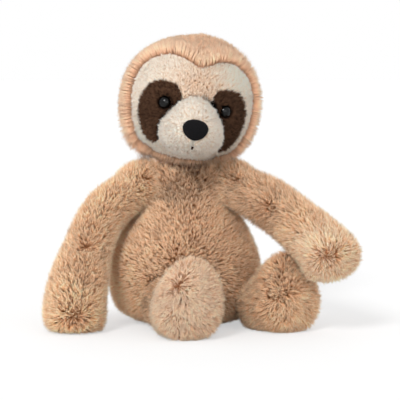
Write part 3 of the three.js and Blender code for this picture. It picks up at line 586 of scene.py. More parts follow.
def strands(name, look, body, points, normals, grown, bent=True):
    """Closed, tapered, three-sided strands, in pieces that the export keeps whole. Short ones are straight."""
    mid, tip, radius, tone = grown
    points, mid, tip = (placed(x, body) for x in (points, mid, tip))
    if body == "head":
        normals = normals @ HEAD_ROT.T
    stations = [(0.0, 1.0), (0.5, 0.72)] if bent else [(0.0, 1.0)]  # place, share of the radius
    size = 3 * len(stations) + 1
    sides = [(k, (k + 1) % 3, 0.06 + k * 0.3, 0.34 + k * 0.3) for k in range(3)]
    # every strand has a cell of its own in the map, with its three sides side by side
    v0, v1, v2, v3 = 0.06, 0.06 + 0.88 * 0.5, 0.06 + 0.88 * stations[-1][0], 0.94
    quads = [([k, j, 3 + j, 3 + k], [(u0, v0), (u1, v0), (u1, v1), (u0, v1)]) for k, j, u0, u1 in sides]
    last = size - 4
    ends = [([last + k, last + j, size - 1], [(u0, v2), (u1, v2), ((u0 + u1) / 2, v3)]) for k, j, u0, u1 in sides]
    ends.append(([2, 1, 0], [(0.02, 0.02), (0.05, 0.02), (0.02, 0.05)]))
    groups = [quads, ends] if bent else [ends]
    parts = ceil(len(points) / (LONG_STRANDS_LIMIT if bent else SHORT_STRANDS_LIMIT))
    order = np.argsort(points @ [0.3, 0.1, 1.0])
    for part, chosen in enumerate(np.array_split(order, parts)):
        p, m, t, r, shade = (x[chosen] for x in (points, mid, tip, radius, tone))
        n = len(p)
        axis = unit(t - p)
        a = unit(np.cross(axis, normals[chosen] + 1e-3))
        b = np.cross(axis, a)
        ring = [a * cos(k * 2 * pi / 3) + b * sin(k * 2 * pi / 3) for k in range(3)]
        verts = [base + way * (r * scale)[:, None] for base, (_, scale) in zip((p, m), stations) for way in ring]
        verts = np.stack(verts + [t], 1).reshape(-1, 3)
        first = (np.arange(n) * size)[:, None]
        cells = ceil(sqrt(n))
        corner = np.stack(np.divmod(np.arange(n), cells), 1)[:, None, ::-1] / cells
        faces = [np.concatenate([first + np.array([corners]) for corners, _ in group]) for group in groups]
        uv = [(corner + np.array(places) / cells).reshape(-1, 2) for group in groups for _, places in group]
        along = np.tile([place for place, _ in stations for _ in range(3)] + [1.0], n)
        floats = {"root_tip": along, "tone": np.repeat(shade, size)}
        label = f"{name}_{part + 1}" if parts > 1 else name
        declare(new_mesh(label, verts, faces, look, np.concatenate(uv), floats), body)


def two_looks(second, names, looks, body, p, n, grown, bent=True):
    """Strands in two pieces and looks, by which of them have the second one."""
    for name, look, chosen in zip(names, looks, (~second, second)):
        if chosen.any():
            strands(name, look, body, p[chosen], n[chosen], [x[chosen] for x in grown], bent)


# ---- materials
def srgb(r, g, b):
    c = np.array([r, g, b]) / 255
    return tuple(np.where(c <= 0.04045, c / 12.92, ((c + 0.055) / 1.055) ** 2.4)) + (1.0,)


def gray(level):
    return (level, level, level, 1)


def material(name, roughness=1.0, sheen=0.0, specular=0.2):
    mat = bpy.data.materials.new(name)
    mat.use_nodes = True
    shader = mat.node_tree.nodes["Principled BSDF"]
    for key, value in (("Roughness", roughness), ("Sheen Weight", sheen), ("Specular IOR Level", specular)):
        shader.inputs[key].default_value = value
    return mat, mat.node_tree, shader


def feed(socket, value):
    """Links another node's output to a socket, or sets its value."""
    if isinstance(value, bpy.types.NodeSocket):
        socket.id_data.links.new(value, socket)
    else:
        socket.default_value = value


def add(tree, kind, *values, **named):
    """A node, with values or links for its first inputs, and others by name."""
    node = tree.nodes.new("ShaderNode" + kind)
    for socket, value in zip(node.inputs, values):
        feed(socket, value)
    for key, value in named.items():
        if key in node.inputs:
            feed(node.inputs[key], value)
        else:
            setattr(node, key, value)
    return node


def noise(tree, scale, detail=3.0):
    coords = add(tree, "TexCoord").outputs["Object"]
    return add(tree, "TexNoise", Scale=scale, Detail=detail, Roughness=0.5, Vector=coords).outputs["Fac"]


def mix_colour(tree, fac, a, b, blend="MIX"):
    node = add(tree, "Mix", data_type="RGBA", blend_type=blend)
    for place, value in ((0, fac), (6, a), (7, b)):
        feed(node.inputs[place], value)
    return node.outputs[2]


def ramp(tree, fac, stops):
    node = add(tree, "ValToRGB", fac)
    while len(node.color_ramp.elements) < len(stops):
        node.color_ramp.elements.new(0.5)
    for element, (place, colour) in zip(node.color_ramp.elements, stops):
        element.position, element.color = place, colour
    return node.outputs[0]


def maths(tree, operation, a, b):
    return add(tree, "Math", a, b, operation=operation).outputs[0]


def pile_material(name, root, middle, tip, dark=0.16, patch=0.05, patch_scale=60.0):
    """Pile whose colour runs from the backing to the tips, with tufts and patches a little apart."""
    mat, tree, shader = material(name, 0.95, 0.0, 0.12)
    along, tone = (add(tree, "Attribute", attribute_name=key).outputs["Fac"] for key in ("root_tip", "tone"))
    base = ramp(tree, along, [(0.0, srgb(*root)), (0.45, srgb(*middle)), (1.0, srgb(*tip))])
    patches = maths(tree, "MULTIPLY", maths(tree, "SUBTRACT", noise(tree, patch_scale), 0.5), patch * 2)
    value = maths(tree, "ADD", maths(tree, "ADD", maths(tree, "MULTIPLY", tone, dark * 0.5), patches), 1.0)
    shaded = add(tree, "HueSaturation", Value=value, Color=base).outputs[0]
    # no strand gives back more light than falls on it
    capped = add(tree, "VectorMath", shaded, (0.97, 0.96, 0.95), operation="MINIMUM")
    feed(shader.inputs["Base Color"], capped.outputs[0])
    return mat


def two_tone(name, dark, light, scale, detail=2.0, looks=(1.0, 0.2, 0.1), relief=None, mottled=False):
    """A material between two tones. Looks are its roughness, sheen and specular level, relief is the
    scale, detail, depth in metres and strength of its bumps."""
    mat, tree, shader = material(name, *looks)
    colour = mix_colour(tree, noise(tree, scale, detail), srgb(*dark), srgb(*light))
    if mottled:
        colour = mix_colour(tree, noise(tree, 70.0, 2.0), colour, srgb(*light), "MULTIPLY")
    feed(shader.inputs["Base Color"], colour)
    if relief:
        scale, detail, depth, strength = relief
        bump = add(tree, "Bump", Distance=depth, Strength=strength, Height=noise(tree, scale, detail))
        feed(shader.inputs["Normal"], bump.outputs[0])
    return mat


def backing(name, dark, light, scale=900.0):
    """The knitted backing with the roots of the pile, or another cloth or thread."""
    return two_tone(name, dark, light, scale, relief=(scale, 3.0, 0.0004, 0.6), mottled=True)


BEIGE_PILE = pile_material("beige_pile", (152, 98, 62), (233, 176, 130), (255, 231, 201), 0.32, 0.36, 95.0)
# lighter all along its strands than the beige pile: partly paler tips, partly painted light where the sole and the
# raised paw face the lamps
SOLE_PILE = pile_material("sole_pile", (222, 168, 131), (253, 210, 177), (255, 236, 214), 0.22, 0.12, 95.0)
HOOD_PILE = pile_material("hood_pile", (212, 162, 130), (242, 199, 165), (252, 225, 198), patch=0.08)
CREAM_NAP = pile_material("cream_nap", (236, 212, 188), (251, 236, 219), (255, 250, 241), 0.1)
BROW_NAP = pile_material("brow_nap", (186, 134, 98), (232, 192, 156), (250, 224, 198), 0.2)
MUZZLE_NAP = pile_material("muzzle_nap", (228, 208, 188), (252, 239, 224), (255, 250, 243), 0.12)
DARK_NAP = pile_material("dark_nap", (30, 16, 10), (64, 41, 28), (114, 84, 64), 0.42, 0.25)
BEIGE_BACKING = backing("beige_backing", (168, 120, 86), (208, 162, 124))
CREAM_BACKING = backing("cream_backing", (236, 212, 186), (246, 228, 206))
DARK_BACKING = backing("dark_backing", (40, 24, 16), (60, 38, 26))
FILLING = backing("fibre_filling", (232, 228, 220), (246, 244, 240), 300.0)
POUCH = backing("pouch_cloth", (190, 190, 184), (206, 206, 200), 1500.0)
THREAD = backing("seam_thread", (150, 112, 84), (190, 150, 118), 2500.0)
MOUTH = backing("mouth_thread", (40, 24, 16), (66, 42, 28), 2500.0)
EYE = two_tone("eye_plastic", (1, 1, 1), (3, 3, 3), 400.0, looks=(0.03, 0.0, 0.26))
WASHER = two_tone("washer_plastic", (224, 224, 218), (238, 238, 234), 400.0, looks=(0.5, 0.0, 0.5))
VELVET = two_tone(
    "nose_velvet", (5, 5, 6), (17, 16, 18), 1400.0, 3.0, looks=(0.9, 0.18, 0.12), relief=(1800.0, 4.0, 0.0003, 0.7)
)
VELVET_SHADER = VELVET.node_tree.nodes["Principled BSDF"]
VELVET_SHADER.inputs["Sheen Roughness"].default_value = 0.4
VELVET_SHADER.inputs["Sheen Tint"].default_value = srgb(120, 120, 126)


# ---- body
def socket_dents(grid, normals):
    """Presses the surface in where the limbs and the head sit."""
    balls = [(limb["pivot"], limb["root"]) for limb in LIMBS] + [(NECK_POINT, NECK_RADIUS)]
    for centre, radius in balls:
        r = radius + SOCKET_GAP + SOCKET_CLEARANCE
        away = grid - centre
        b, c = dot(away, normals), dot(away, away) - r * r
        # move against the normal, until the ball's far side is met
        move = np.minimum(b + np.sqrt(np.maximum(b * b - c, 0)), 30)
        grid = np.where(c < 0, grid - normals * move, grid)
    return grid


def body_surface():
    """The body's backing with the hollow that the head sits in."""
    grid = body_grid(PLUSH_BASE)
    grid = socket_dents(filled_out(grid, "torso"), grid_normals(grid)[0])
    # from the rim down into the hollow, round the underside of the head
    hollow = NECK_RADIUS + SOCKET_GAP + HOLLOW_CLEARANCE
    rows = []
    for share in (0.97, 0.9, 0.8, 0.66, 0.5, 0.34, 0.16):
        flat = (grid[-1] - NECK_POINT) * [share, share, 0]
        z = -np.sqrt(np.maximum(hollow**2 - sizes(flat) ** 2, 0))
        rows.append(NECK_POINT + flat + xyz(0, 0, z))
    return np.concatenate([grid, np.array(rows)])


def inside_rings(p, share, table, half_width, half_depth, depth, middle_y=0.0):
    """True for points deeper than this inside the rings that a table of shares gives."""
    table = np.asarray(table)
    w = half_width * np.interp(share, table[:, 0], table[:, 1]) - depth
    d = half_depth * np.interp(share, table[:, 0], table[:, 2]) - depth
    return (p[:, 0] / w) ** 2 + ((p[:, 1] - middle_y) / d) ** 2 < 1


def inside_body(p, depth):
    share = (p[:, 2] + FLAT_CUT) / BODY_HEIGHT
    table = catmull(BODY_SHARES, np.linspace(0, 1, 60))
    middle_y = BODY_LEAN * BODY_HEIGHT * share
    inside = inside_rings(p, share, table, BODY_HALF_WIDTH, BODY_HALF_DEPTH, depth, middle_y)
    return inside & (p[:, 2] < BODY_HEIGHT - depth)


def inside_head(p, depth):
    """The same for the head, in its own frame."""
    share = p[:, 2] / np.where(p[:, 2] < 0, HEAD_LOWER, HEAD_UPPER)
    return inside_rings(p, share, HEAD_SHARES, HEAD_HALF_WIDTH, HEAD_FRONT, depth)


def seam_gap(p):
    """Distance of the body's points to the nearest seam between its panels."""
    x, y, z = p.T
    before, above = y < SIDE_SEAM_Y, z > SEAT_SEAM_HEIGHT
    chest = np.where(before & above, np.abs(x - CHEST_SEAM_X - 1.2 * np.sin(z / 17)), 99)
    side = np.where(above, np.abs(y - SIDE_SEAM_Y), 99)
    seat = np.where(before, np.abs(z - SEAT_SEAM_HEIGHT), 99)
    return np.minimum(chest, np.minimum(side, seat))


def make_body():
    grid = body_surface()
    x, y, z = np.moveaxis(face_middles(grid), -1, 0)
    front = (y < SIDE_SEAM_Y) & (z > SEAT_SEAM_HEIGHT)
    right, left = front & (x < CHEST_SEAM_X), front & (x >= CHEST_SEAM_X)
    for node, keep in (("body_front_right", right), ("body_front_left", left), ("body_back", ~front)):
        shell(node, "torso", BEIGE_BACKING, grid, keep)
    rng = np.random.default_rng(BODY_SEED)
    p, n, _, density = sample(filled_out(body_grid(PLUSH_BASE), "torso"), BODY_STRANDS, rng)
    clear = np.all([sizes(p - limb["pivot"]) > limb["root"] - SOCKET_BARE for limb in LIMBS], axis=0)
    p, n = p[clear], n[clear]
    comb, lean, collar, dark = body_combs(p, n)
    comb, lean, _, heart_shade = spread_from(BODY_WHORLS, p, n, comb, lean, 0.0)
    # painted shade in the whorls' hearts
    dark = dark + heart_shade
    side = beside_chin(p[:, 0])
    lean = lean + 0.85 * (0.4 + 0.6 * side) * collar
    length = BODY_PILE_LENGTH * (0.7 + 0.3 * ease(seam_gap(p), 0, 4))
    length = length * pressed(n, 0.55) * (1 + (0.3 + 0.6 * side) * collar)
    mid, tip, radius, tone = grow(p, n, comb, length, lean, density, rng)
    settle(mid, tip, p, n, PILE_HEIGHT + (3.0 + 4.0 * side) * collar, rng)
    clear_floor(mid, tip)
    strands("body_pile", BEIGE_PILE, "torso", p, n, (mid, tip, radius, tone - dark))


def pressed(normals, part):
    """The pile's length under the toy, where it is pressed flat, as a share of the rest."""
    return 1 - part * ease(-normals[:, 2], 0.6, 0.95)


def beside_chin(x):
    """0 under the chin, 1 to both sides of it."""
    return ease(np.abs(x - NECK_POINT[0]), *COLLAR_SIDES)


def body_combs(p, n):
    """Which way the body's pile lies, how flat, where it stands up as a collar, and where shade and light are
    painted into its colour.
    """
    x, y, z = p.T
    swirl = xyz(np.sin(z / 13 + x / 21), 0, np.cos(x / 15 + z / 23))
    # on the belly it fans out and up from a point above the right foot
    comb = unit(p - BELLY_FAN) + [0, 0, 0.5] + 0.3 * swirl
    # up to the neck the pile turns upwards: low on the chest's right, only at the top on its left
    front = 1 - ease(y, -12, 4)
    turn_height = TURN_HEIGHT - TURN_DROP * front * (1 - ease(x, -6, 8))
    upper = ease(z, turn_height - TURN_REACH, turn_height + TURN_REACH)
    comb = comb * (1 - upper)[:, None] + [0, 0, 1.3] * upper[:, None]
    # it parts along the chest seam
    across = x - (CHEST_SEAM_X + SEAM_BEND * bell((z - SEAM_BEND_HEIGHT) / SEAM_BEND_REACH))
    seam = bell(across / PARTING_REACH) * ease(z, *PARTING_HEIGHTS) * (y < 0)
    comb = comb + xyz(np.sign(across), 0, 0) * (0.6 * seam)[:, None]
    lean = 0.36 * np.clip(sizes(square_to(comb, n)), 0.3, 1) * (1 - 0.6 * bell(across / 2.5) * seam)
    # painted shade along the parting down the chest seam
    dark = 2.4 * bell(across / 1.3) * ease(z, 84, 97) * (y < 0)
    # painted shadow of the chin on the chest, deepest just to the right of the seam
    dark = dark + 1.2 * bell((x - 6) / 26) * ease(z, 78, 100) * front
    dark = dark + 1.4 * bell((x + 6) / 14, (z - 92) / 8) * front
    # painted light low on the belly's right, where the arm and leg shade it
    dark = dark - 0.8 * bell((x + 40) / 18, (z - 30) / 26) * front
    # painted shade along the line where the pile turns upwards, on the chest's right
    turn_shade = bell((z - turn_height) / 2.5) * front * (1 - ease(x, -12, 0)) * ease(x, -40, -26)
    # the collar's tufts stand out, each a little its own way
    collar = ease(z, *COLLAR_HEIGHTS)
    sway = np.sin(1.1 * x + 2 * np.sin(z / 2.5)) + 0.7 * np.sin(0.47 * x - 0.9 * y)
    outward = 0.6 * np.sign(x) * beside_chin(x)
    comb = comb + xyz(0.55 * sway + outward, -0.5, 0) * collar[:, None]
    # on the chest the tufts stand up
    lean = lean * (1 - 0.3 * collar) * (1 - 0.4 * ease(z, *CHEST_HEIGHTS) * front)
    return comb, lean, collar, dark + 1.2 * turn_shade


def spread_from(whorls, p, n, comb, lean, length, flat=WHORL_FLAT):
    """Turns the pile outwards round each whorl, where it is longer and flatter, with painted shade that darkens its
    heart.
    """
    dark = np.zeros(len(p))
    for centre, reach, longer in whorls:
        away = p - centre
        off = sizes(away)
        near, heart = bell(off / reach), bell(off / WHORL_HEART)
        radial = unit(square_to(away, n))
        radial = radial + 0.55 * np.cross(n, radial) * np.sin(away @ [0.31, 0.23, -0.27] + 1.0)[:, None]
        comb = comb * (1 - near)[:, None] + radial * (near * 1.3)[:, None]
        lean = lean * (1 - 0.5 * heart) + flat * near * (1 - heart)
        length = length + longer * near * (1 - heart)
        # painted shade in the whorl's heart
        dark = dark + 0.35 * bell(off / 5.0)
    return comb, lean, length, dark


# ---- limbs
def make_limb(limb, seed):
    name, nap = limb["name"], NAPS[limb["name"]]
    grid = filled_out(limb_grid(limb, PLUSH_BASE), name)
    grid[..., 2] = np.maximum(grid[..., 2], LIMB_FLOOR)
    shell(name + "_skin", name, BEIGE_BACKING, grid, thickness=SLEEVE_THICKNESS)
    rng = np.random.default_rng(seed)
    p, n, along, density = sample(grid, LIMB_STRANDS[name], rng)
    # the part that lies in the body's socket stays bare
    bare = inside_body(p, PLUSH_BASE + ROOT_BARE)
    p, n, along = p[~bare], n[~bare], along[~bare]
    swirl = xyz(np.sin(p[:, 2] / 14 + p[:, 0] / 17), np.cos(p[:, 1] / 15), np.sin(p[:, 0] / 13))
    comb, lean, length, dark = spread_from(
        nap["whorls"], p, n, 0.45 * swirl - along, 0.32, LIMB_PILE_LENGTH, nap.get("flat", WHORL_FLAT)
    )
    length = length * pressed(n, 0.5)
    mid, tip, radius, tone = grow(p, n, comb, length, lean, density, rng, pull=0.7, tufty=0.38)
    settle(mid, tip, p, n, PILE_HEIGHT, rng)
    clear_floor(mid, tip)
    # the pile is paler on the sole and on the raised paw, where most of it shows its tips, and with painted light
    # where they face the lamps
    pale = rng.random(len(p)) < spots(p, nap.get("tips", ()), 2)
    names, looks = (name + "_pile", name + "_tips"), (BEIGE_PILE, SOLE_PILE)
    # painted shade in the whorls' hearts, and the table's spots of painted light and painted shade
    tone = np.minimum(1.6 * tone, 1.6) - dark + spots(p, nap["pale"])
    two_looks(pale, names, looks, name, p, n, (mid, tip, radius, tone))


# ---- head
def head_zone(p):
    """0 for the hood, 1 for the face, 2 and 3 for the patches, with the distance to the face's edge."""
    flat = p[:, [0, 2]]
    face = outline_distance(flat, FACE_OUTLINE)
    zone = np.where((p[:, 1] < FACE_BACK_Y) & (face < 0), 1, 0)
    for k, line in ((2, RIGHT_PATCH_OUTLINE), (3, LEFT_PATCH_OUTLINE)):
        zone = np.where((zone == 1) & (outline_distance(flat, line) < 0), k, zone)
    return zone, face + 1.3 * np.maximum(p[:, 1] - FACE_BACK_Y, 0)


def make_head():
    grid = filled_out(head_grid(PLUSH_BASE), "head")
    zone, _ = head_zone(face_middles(grid).reshape(-1, 3))
    for k, (node, look, slot) in enumerate((
        ("head_hood", BEIGE_BACKING, "long_plush"),
        ("face_panel", CREAM_BACKING, "short_plush"),
        ("right_eye_patch", DARK_BACKING, "dark_plush"),
        ("left_eye_patch", DARK_BACKING, "dark_plush"),
    )):
        shell(node, "head", look, grid, zone == k)
    rng = np.random.default_rng(HEAD_SEED)
    p, n, _, density = sample(grid, HOOD_STRANDS, rng)
    zone, rim = head_zone(p)
    hood = ((zone == 0) | (rim > -fringe_overlap(p))) & (p[:, 2] > HOOD_PILE_FLOOR) & ~in_muzzle(p)
    grow_hood(p[hood], n[hood], rim[hood], density, rng)
    p, n, _, density = sample(grid, FACE_STRANDS, rng)
    zone, rim = head_zone(p)
    seen = ~in_muzzle(p) & eye_clear(p) & (rim < -fringe_overlap(p))
    for k, name, side in ((1, "face_nap", 0), (2, "right_patch_nap", -1), (3, "left_patch_nap", 1)):
        keep = (zone == k) & seen
        grow_face(name, side, p[keep], n[keep], rim[keep], density, rng)


def grow_face(name, side, p, n, rim, density, rng):
    """The nap on the face, or with a side on that side's patch."""
    x, y, z = p.T
    # between the brows the nap stands up in small tufts, along the hood's seam it stands straight
    brow = bell(x / 20, (z - 8) / 17)
    inner = ease(-rim, 0, 3.5)
    lean = (1.0 - 0.3 * brow) * inner + 0.12 * (1 - inner)
    away = p - (0, FACE_NAP_Y, MUZZLE_Z)
    length, look, slot = FACE_NAP_LENGTH, CREAM_NAP, "short_plush"
    if side:
        # round the eye it stands up and is longer
        from_eye = p - eye_seat(side)[0]
        socket = 1 - ease(sizes(from_eye) - EYE_RADIUS, 0.5, 3.5)
        lean = lean * (1 - 0.9 * socket)
        length, look, slot = PATCH_NAP_LENGTH + 2.2 * socket, DARK_NAP, "dark_plush"
        away = away * (1 - 0.8 * socket)[:, None] + from_eye * (12 * socket)[:, None]
    mid, tip, radius, tone = grow(
        p, n, away, length * (1 + 0.3 * brow), lean, density, rng, clump=1.1, pull=0.1 + 0.42 * brow[:, None],
        jitter=0.38, radius=0.13, tufty=0.14
    )
    # painted shade along the crease down the muzzle's upper left edge, and painted light on two places on the face
    edge = (muzzle_share(p) - 1) * MUZZLE_HALF_WIDTH
    crease_shade = bell((edge - 0.9) / 1.3) * ease(x, 1, 7) * ease(z, MUZZLE_Z + 4, MUZZLE_Z + 10)
    tone = tone - 9.0 * crease_shade + 2.6 * bell((x - 30) / 16, (z - 20) / 14) + 2.4 * bell((x + 30) / 13, (z + 33) / 9)
    beige = (rng.random(len(p)) < 0.7 * brow) & (side == 0)
    names, looks = (name, "brow_nap"), (look, BROW_NAP)
    two_looks(beige, names, looks, "head", p, n, (mid, tip, radius, tone), bent=False)


def fringe_overlap(p):
    """How far the hood's pile reaches over the face's edge: furthest under the chin."""
    return FRINGE_OVERLAP + CHIN_OVERLAP * ease(-p[:, 2], 37, 44)


def fringe_locks(p, block=4000):
    """Where each point lies along the face's outline, and the outline's heading there."""
    line, after = FACE_OUTLINE, np.roll(FACE_OUTLINE, -1, 0)
    arc = np.concatenate([[0], np.cumsum(sizes(after - line))[:-1]])
    heading = unit(after - np.roll(line, 1, 0))
    flat = p[:, [0, 2]]
    blocks = (flat[start:start + block, None] for start in range(0, len(p), block))
    near = np.concatenate([((part - line[None]) ** 2).sum(-1).argmin(1) for part in blocks])
    return arc[near] + ((flat - line[near]) * heading[near]).sum(1), heading[near]


def grow_hood(p, n, rim, density, rng):
    x, y, z = p.T
    # combed away from the face, and over the top towards the back
    top = ease(z, *CROWN_HEIGHTS)
    fringe = 1 - ease(rim, 5 - 3 * top, 17 - 8 * top)
    back = ease(y, *BACK_DEPTHS)
    low = ease(-z, *LOW_DROPS) * (1 - 0.55 * ease(x, 0, 25))
    jowl = ease(-z, *JOWL_DROPS) * ease(-x, 4, 16)
    chin = ease(-z, *CHIN_DROPS) * (1 - ease(np.abs(x), 20, 32))
    length = (HOOD_PILE_LENGTH + (2.8 + 1.4 * low + 2.6 * jowl) * fringe) * (1 - 0.6 * chin)
    lean = 1.05 - (0.62 - 0.2 * low) * fringe - 0.5 * back * (1 - fringe)
    # the fringe stands straight out from the face's edge
    place, ahead = fringe_locks(p)
    out = xyz(-ahead[:, 1], 0, ahead[:, 0])
    out = out * np.sign(dot(out, p - (0, 0, FACE_MIDDLE_Z)))
    swirl = xyz(np.sin(z / 13 + x / 17), 0.5 * np.cos(x / 15), -2.2)
    comb = unit(p - (0, HOOD_NAP_Y, FACE_MIDDLE_Z)) * (1 - back)[:, None] + 0.5 * swirl * back[:, None]
    comb = comb * (1 - fringe)[:, None] + (out + [0, 0.1, 0]) * fringe[:, None] * 1.5
    comb = comb + [0, 0.3, 0] + [0.1, 0, -0.9] * jowl[:, None]
    mid, tip, radius, tone = grow(
        p, n, comb, length, lean, density, rng, clump=1.8, pull=(0.3 * (1 - fringe))[:, None], jitter=0.2,
        loose=0.1, spread=0.08, uneven=0.07, tufty=0.1, radius=0.18, curl=0.32
    )
    # its strands gather into locks, with a thin parting between each two
    lock = place / FRINGE_LOCK + 0.4 * np.sin(place / 5.3) + 0.3 * np.sin(place / 2.1) + 0.02 * rim + 2
    number = np.floor(lock).astype(int)
    offset = (lock - number - 0.5) * 2
    grip = rng.uniform(0.25, 0.85, number.max() + 2)[number] * fringe
    drawn = xyz(ahead[:, 0], 0, ahead[:, 1]) * (offset * FRINGE_LOCK / 2 * grip)[:, None]
    mid -= drawn * 0.5
    tip -= drawn
    shade = rng.normal(0, 1, number.max() + 2)[number]
    # painted shade in the partings between the locks
    tone = tone * (1 - 0.4 * fringe) + 0.7 * shade * fringe - 1.0 * grip * (offset**4)
    # painted shade under the chin, and painted light along the face's edge where the fringe's roots shade it
    tone = tone - 2.6 * chin + 1.8 * bell(rim / 1.6) * (1 - low)
    height = 5.0 + (2.1 + 1.2 * low + 2.0 * jowl) * fringe * (1 - 0.35 * offset**2) * (1 - 0.5 * chin)
    settle(mid, tip, p, n, height, rng)
    strands("hood_pile", HOOD_PILE, "head", p, n, (mid, tip, radius, tone))


def muzzle_share(p):
    """How far out points lie from the muzzle's middle, seen from the front: 1 at its edge."""
    up = (p[:, 2] - MUZZLE_Z) / (MUZZLE_HALF_HEIGHT - MUZZLE_SEAT)
    across = p[:, 0] / ((MUZZLE_HALF_WIDTH - MUZZLE_SEAT) * (1 - MUZZLE_TAPER * np.clip(up, -1, 1)))
    return np.sqrt(across**2 + up**2)


def in_muzzle(p):
    """True where the muzzle covers the face."""
    return (muzzle_share(p) < 1) & (p[:, 1] < 0)


def eye_seat(side):
    """An eye's place on the head and the way that it looks."""
    x = side * EYE_X
    width, depth = HEAD_HALF_WIDTH - EYE_STEP, HEAD_FRONT - EYE_STEP
    y = -depth * sqrt(1 - (x / width) ** 2)
    return np.array([x, y, EYE_Z]), unit(np.array([x / width**2, y / depth**2, 0]))


def eye_clear(p):
    return np.all([sizes(p - eye_seat(side)[0]) > EYE_RADIUS + EYE_BARE for side in (-1, 1)], axis=0)


def make_muzzle():
    grid = muzzle_grid(NAP_BASE)
    shell("muzzle", "head", CREAM_BACKING, grid)
    rng = np.random.default_rng(MUZZLE_SEED)
    p, n, _, density = sample(grid, MUZZLE_STRANDS, rng)
    nose = (0, MUZZLE_TIP_Y, MUZZLE_Z - NOSE_DROP)
    flat = (p - nose)[:, [0, 2]] / (NOSE_HALF[[0, 2]] * 0.9)
    keep = ((flat**2).sum(1) > 1) & ~inside_head(p, PLUSH_BASE)
    p, n = p[keep], n[keep]
    grown = grow(p, n, p - nose, MUZZLE_NAP_LENGTH, 0.9, density, rng, clump=1.2, pull=0.5, jitter=0.6, radius=0.14,
                 tufty=0.28, uneven=0.2)
    strands("muzzle_nap", MUZZLE_NAP, "head", p, n, grown, bent=False)


def head_piece(name, node, look, grids, flip=False):
    """One piece of the head from grids, with their ends closed."""
    starts = np.cumsum([0] + [grid[..., 0].size for grid in grids])
    faces = np.concatenate([grid_faces(*grid.shape[:2]) + start for grid, start in zip(grids, starts)])
    co = np.concatenate([grid.reshape(-1, 3) for grid in grids])
    obj = new_mesh(name, placed(co, "head"), [faces[:, ::-1] if flip else faces], look)
    bm = bmesh.new()
    bm.from_mesh(obj.data)
    bmesh.ops.holes_fill(bm, edges=[edge for edge in bm.edges if edge.is_boundary], sides=0)
    bmesh.ops.recalc_face_normals(bm, faces=bm.faces)
    bm.to_mesh(obj.data)
    bm.free()
    declare(obj, "head", node)


def make_nose():
    b = np.linspace(-0.5, 0.5, 40)[:, None] * np.pi * 0.995
    a = around(64)[None]
    x, z = np.cos(b) * np.cos(a) * NOSE_HALF[0], np.cos(b) * np.sin(a) * NOSE_HALF[2]
    x = x * (1 + NOSE_TAPER * z / NOSE_HALF[2])
    grid = xyz(x, -np.sin(b) * NOSE_HALF[1] + MUZZLE_TIP_Y + NOSE_SINK, z + MUZZLE_Z - NOSE_DROP)
    head_piece("nose_velvet_pad", "nose", VELVET, [grid], flip=True)
    rng = np.random.default_rng(NOSE_SEED)
    p, n, along, density = sample(grid[::-1], NOSE_STRANDS, rng)
    ahead = p[:, 1] < MUZZLE_TIP_Y + NOSE_SINK
    p, n, along = p[ahead], n[ahead], along[ahead]
    grown = grow(p, n, along, NOSE_NAP_LENGTH, 0.5, density, rng, clump=0.5, pull=0.3, radius=0.09)
    strands("nose_nap", VELVET, "head", p, n, grown, bent=False)


def make_eyes():
    for name, side in (("right", -1), ("left", 1)):
        place, out = eye_seat(side)
        profile = [(0, EYE_HEIGHT + EYE_RIM)]
        for k in range(1, 19):
            angle = (1 - k / 18) * pi / 2
            profile.append((EYE_RADIUS * cos(angle), EYE_RIM + EYE_HEIGHT * sin(angle)))
        profile += [(EYE_RADIUS, -EYE_RIM), (EYE_RADIUS - 0.5, -0.8), (EYE_SHANK_RADIUS, -0.8)]
        profile += [(EYE_SHANK_RADIUS, -EYE_SHANK_DEPTH), (0, -EYE_SHANK_DEPTH)]
        a = around(48)[:, None]
        u = unit(np.cross([0, 0, 1.0], out))
        v = np.cross(out, u)
        rings = [place + out * h + (np.cos(a) * u + np.sin(a) * v) * max(r, 0.02) for r, h in profile]
        head_piece(f"{name}_eye_dome", f"{name}_eye", EYE, [np.array(rings)])


def make_mouth():
    """The stitch under the nose: a few turns of thread laid side by side."""
    centre = (0, STITCH_Y, MUZZLE_Z - STITCH_DROP)
    a, t = around(12)[None, :, None], np.linspace(0, 1, 14)
    side = [1.0, 0, 0]
    turns = []
    for k in range(STITCH_TURNS):
        path = xyz(-0.5 + 0.5 * k + 0.25 * np.sin(3 * t + k), -0.7 * np.sin(np.pi * t), 0.8 - 1.6 * t)
        ups = unit(np.cross(unit(np.gradient(path, axis=0)), side))
        turns.append(path[:, None] + STITCH_RADIUS * (np.cos(a) * side + np.sin(a) * ups[:, None]) + centre)
    head_piece("mouth_thread_stitch", "mouth_stitch", MOUTH, turns)


# ---- inside
def node_copy(node, name, look):
    """A copy of a CAD node's mesh as a piece of the scene."""
    obj = add_object(name, frame["nodes"][node].data.copy())
    obj.data.materials.clear()
    obj.data.materials.append(look)
    return obj


def vertex_rows(obj, key):
    rows = np.empty(len(obj.data.vertices) * 3, np.float32)
    obj.data.vertices.foreach_get(key, rows)
    return rows.reshape(-1, 3)


def move_vertices(obj, co):
    obj.data.vertices.foreach_set("co", (co * MM).astype(np.float32).ravel())
    obj.data.update()
    obj.data.shade_smooth()


def make_filling(node, name, body, look, ripple, seed):
    """A soft lump in place of a CAD filling, a little smaller and uneven."""
    obj = node_copy(node, name, look)
    remesh = obj.modifiers.new("remesh", "REMESH")
    remesh.mode, remesh.voxel_size = "VOXEL", 3 * MM
    smooth = obj.modifiers.new("smooth", "SMOOTH")
    smooth.factor, smooth.iterations = 0.5, 6
    apply_modifiers(obj)
    co, normals = vertex_rows(obj, "co") / MM, vertex_rows(obj, "normal")
    wave = np.sin(co @ [0.31, 0.17, 0.23] + seed) * np.sin(co @ [-0.19, 0.29, 0.13] + 2 * seed)
    move_vertices(obj, co - normals * (0.9 + ripple * (1 + wave))[:, None])
    declare(obj, body, node)


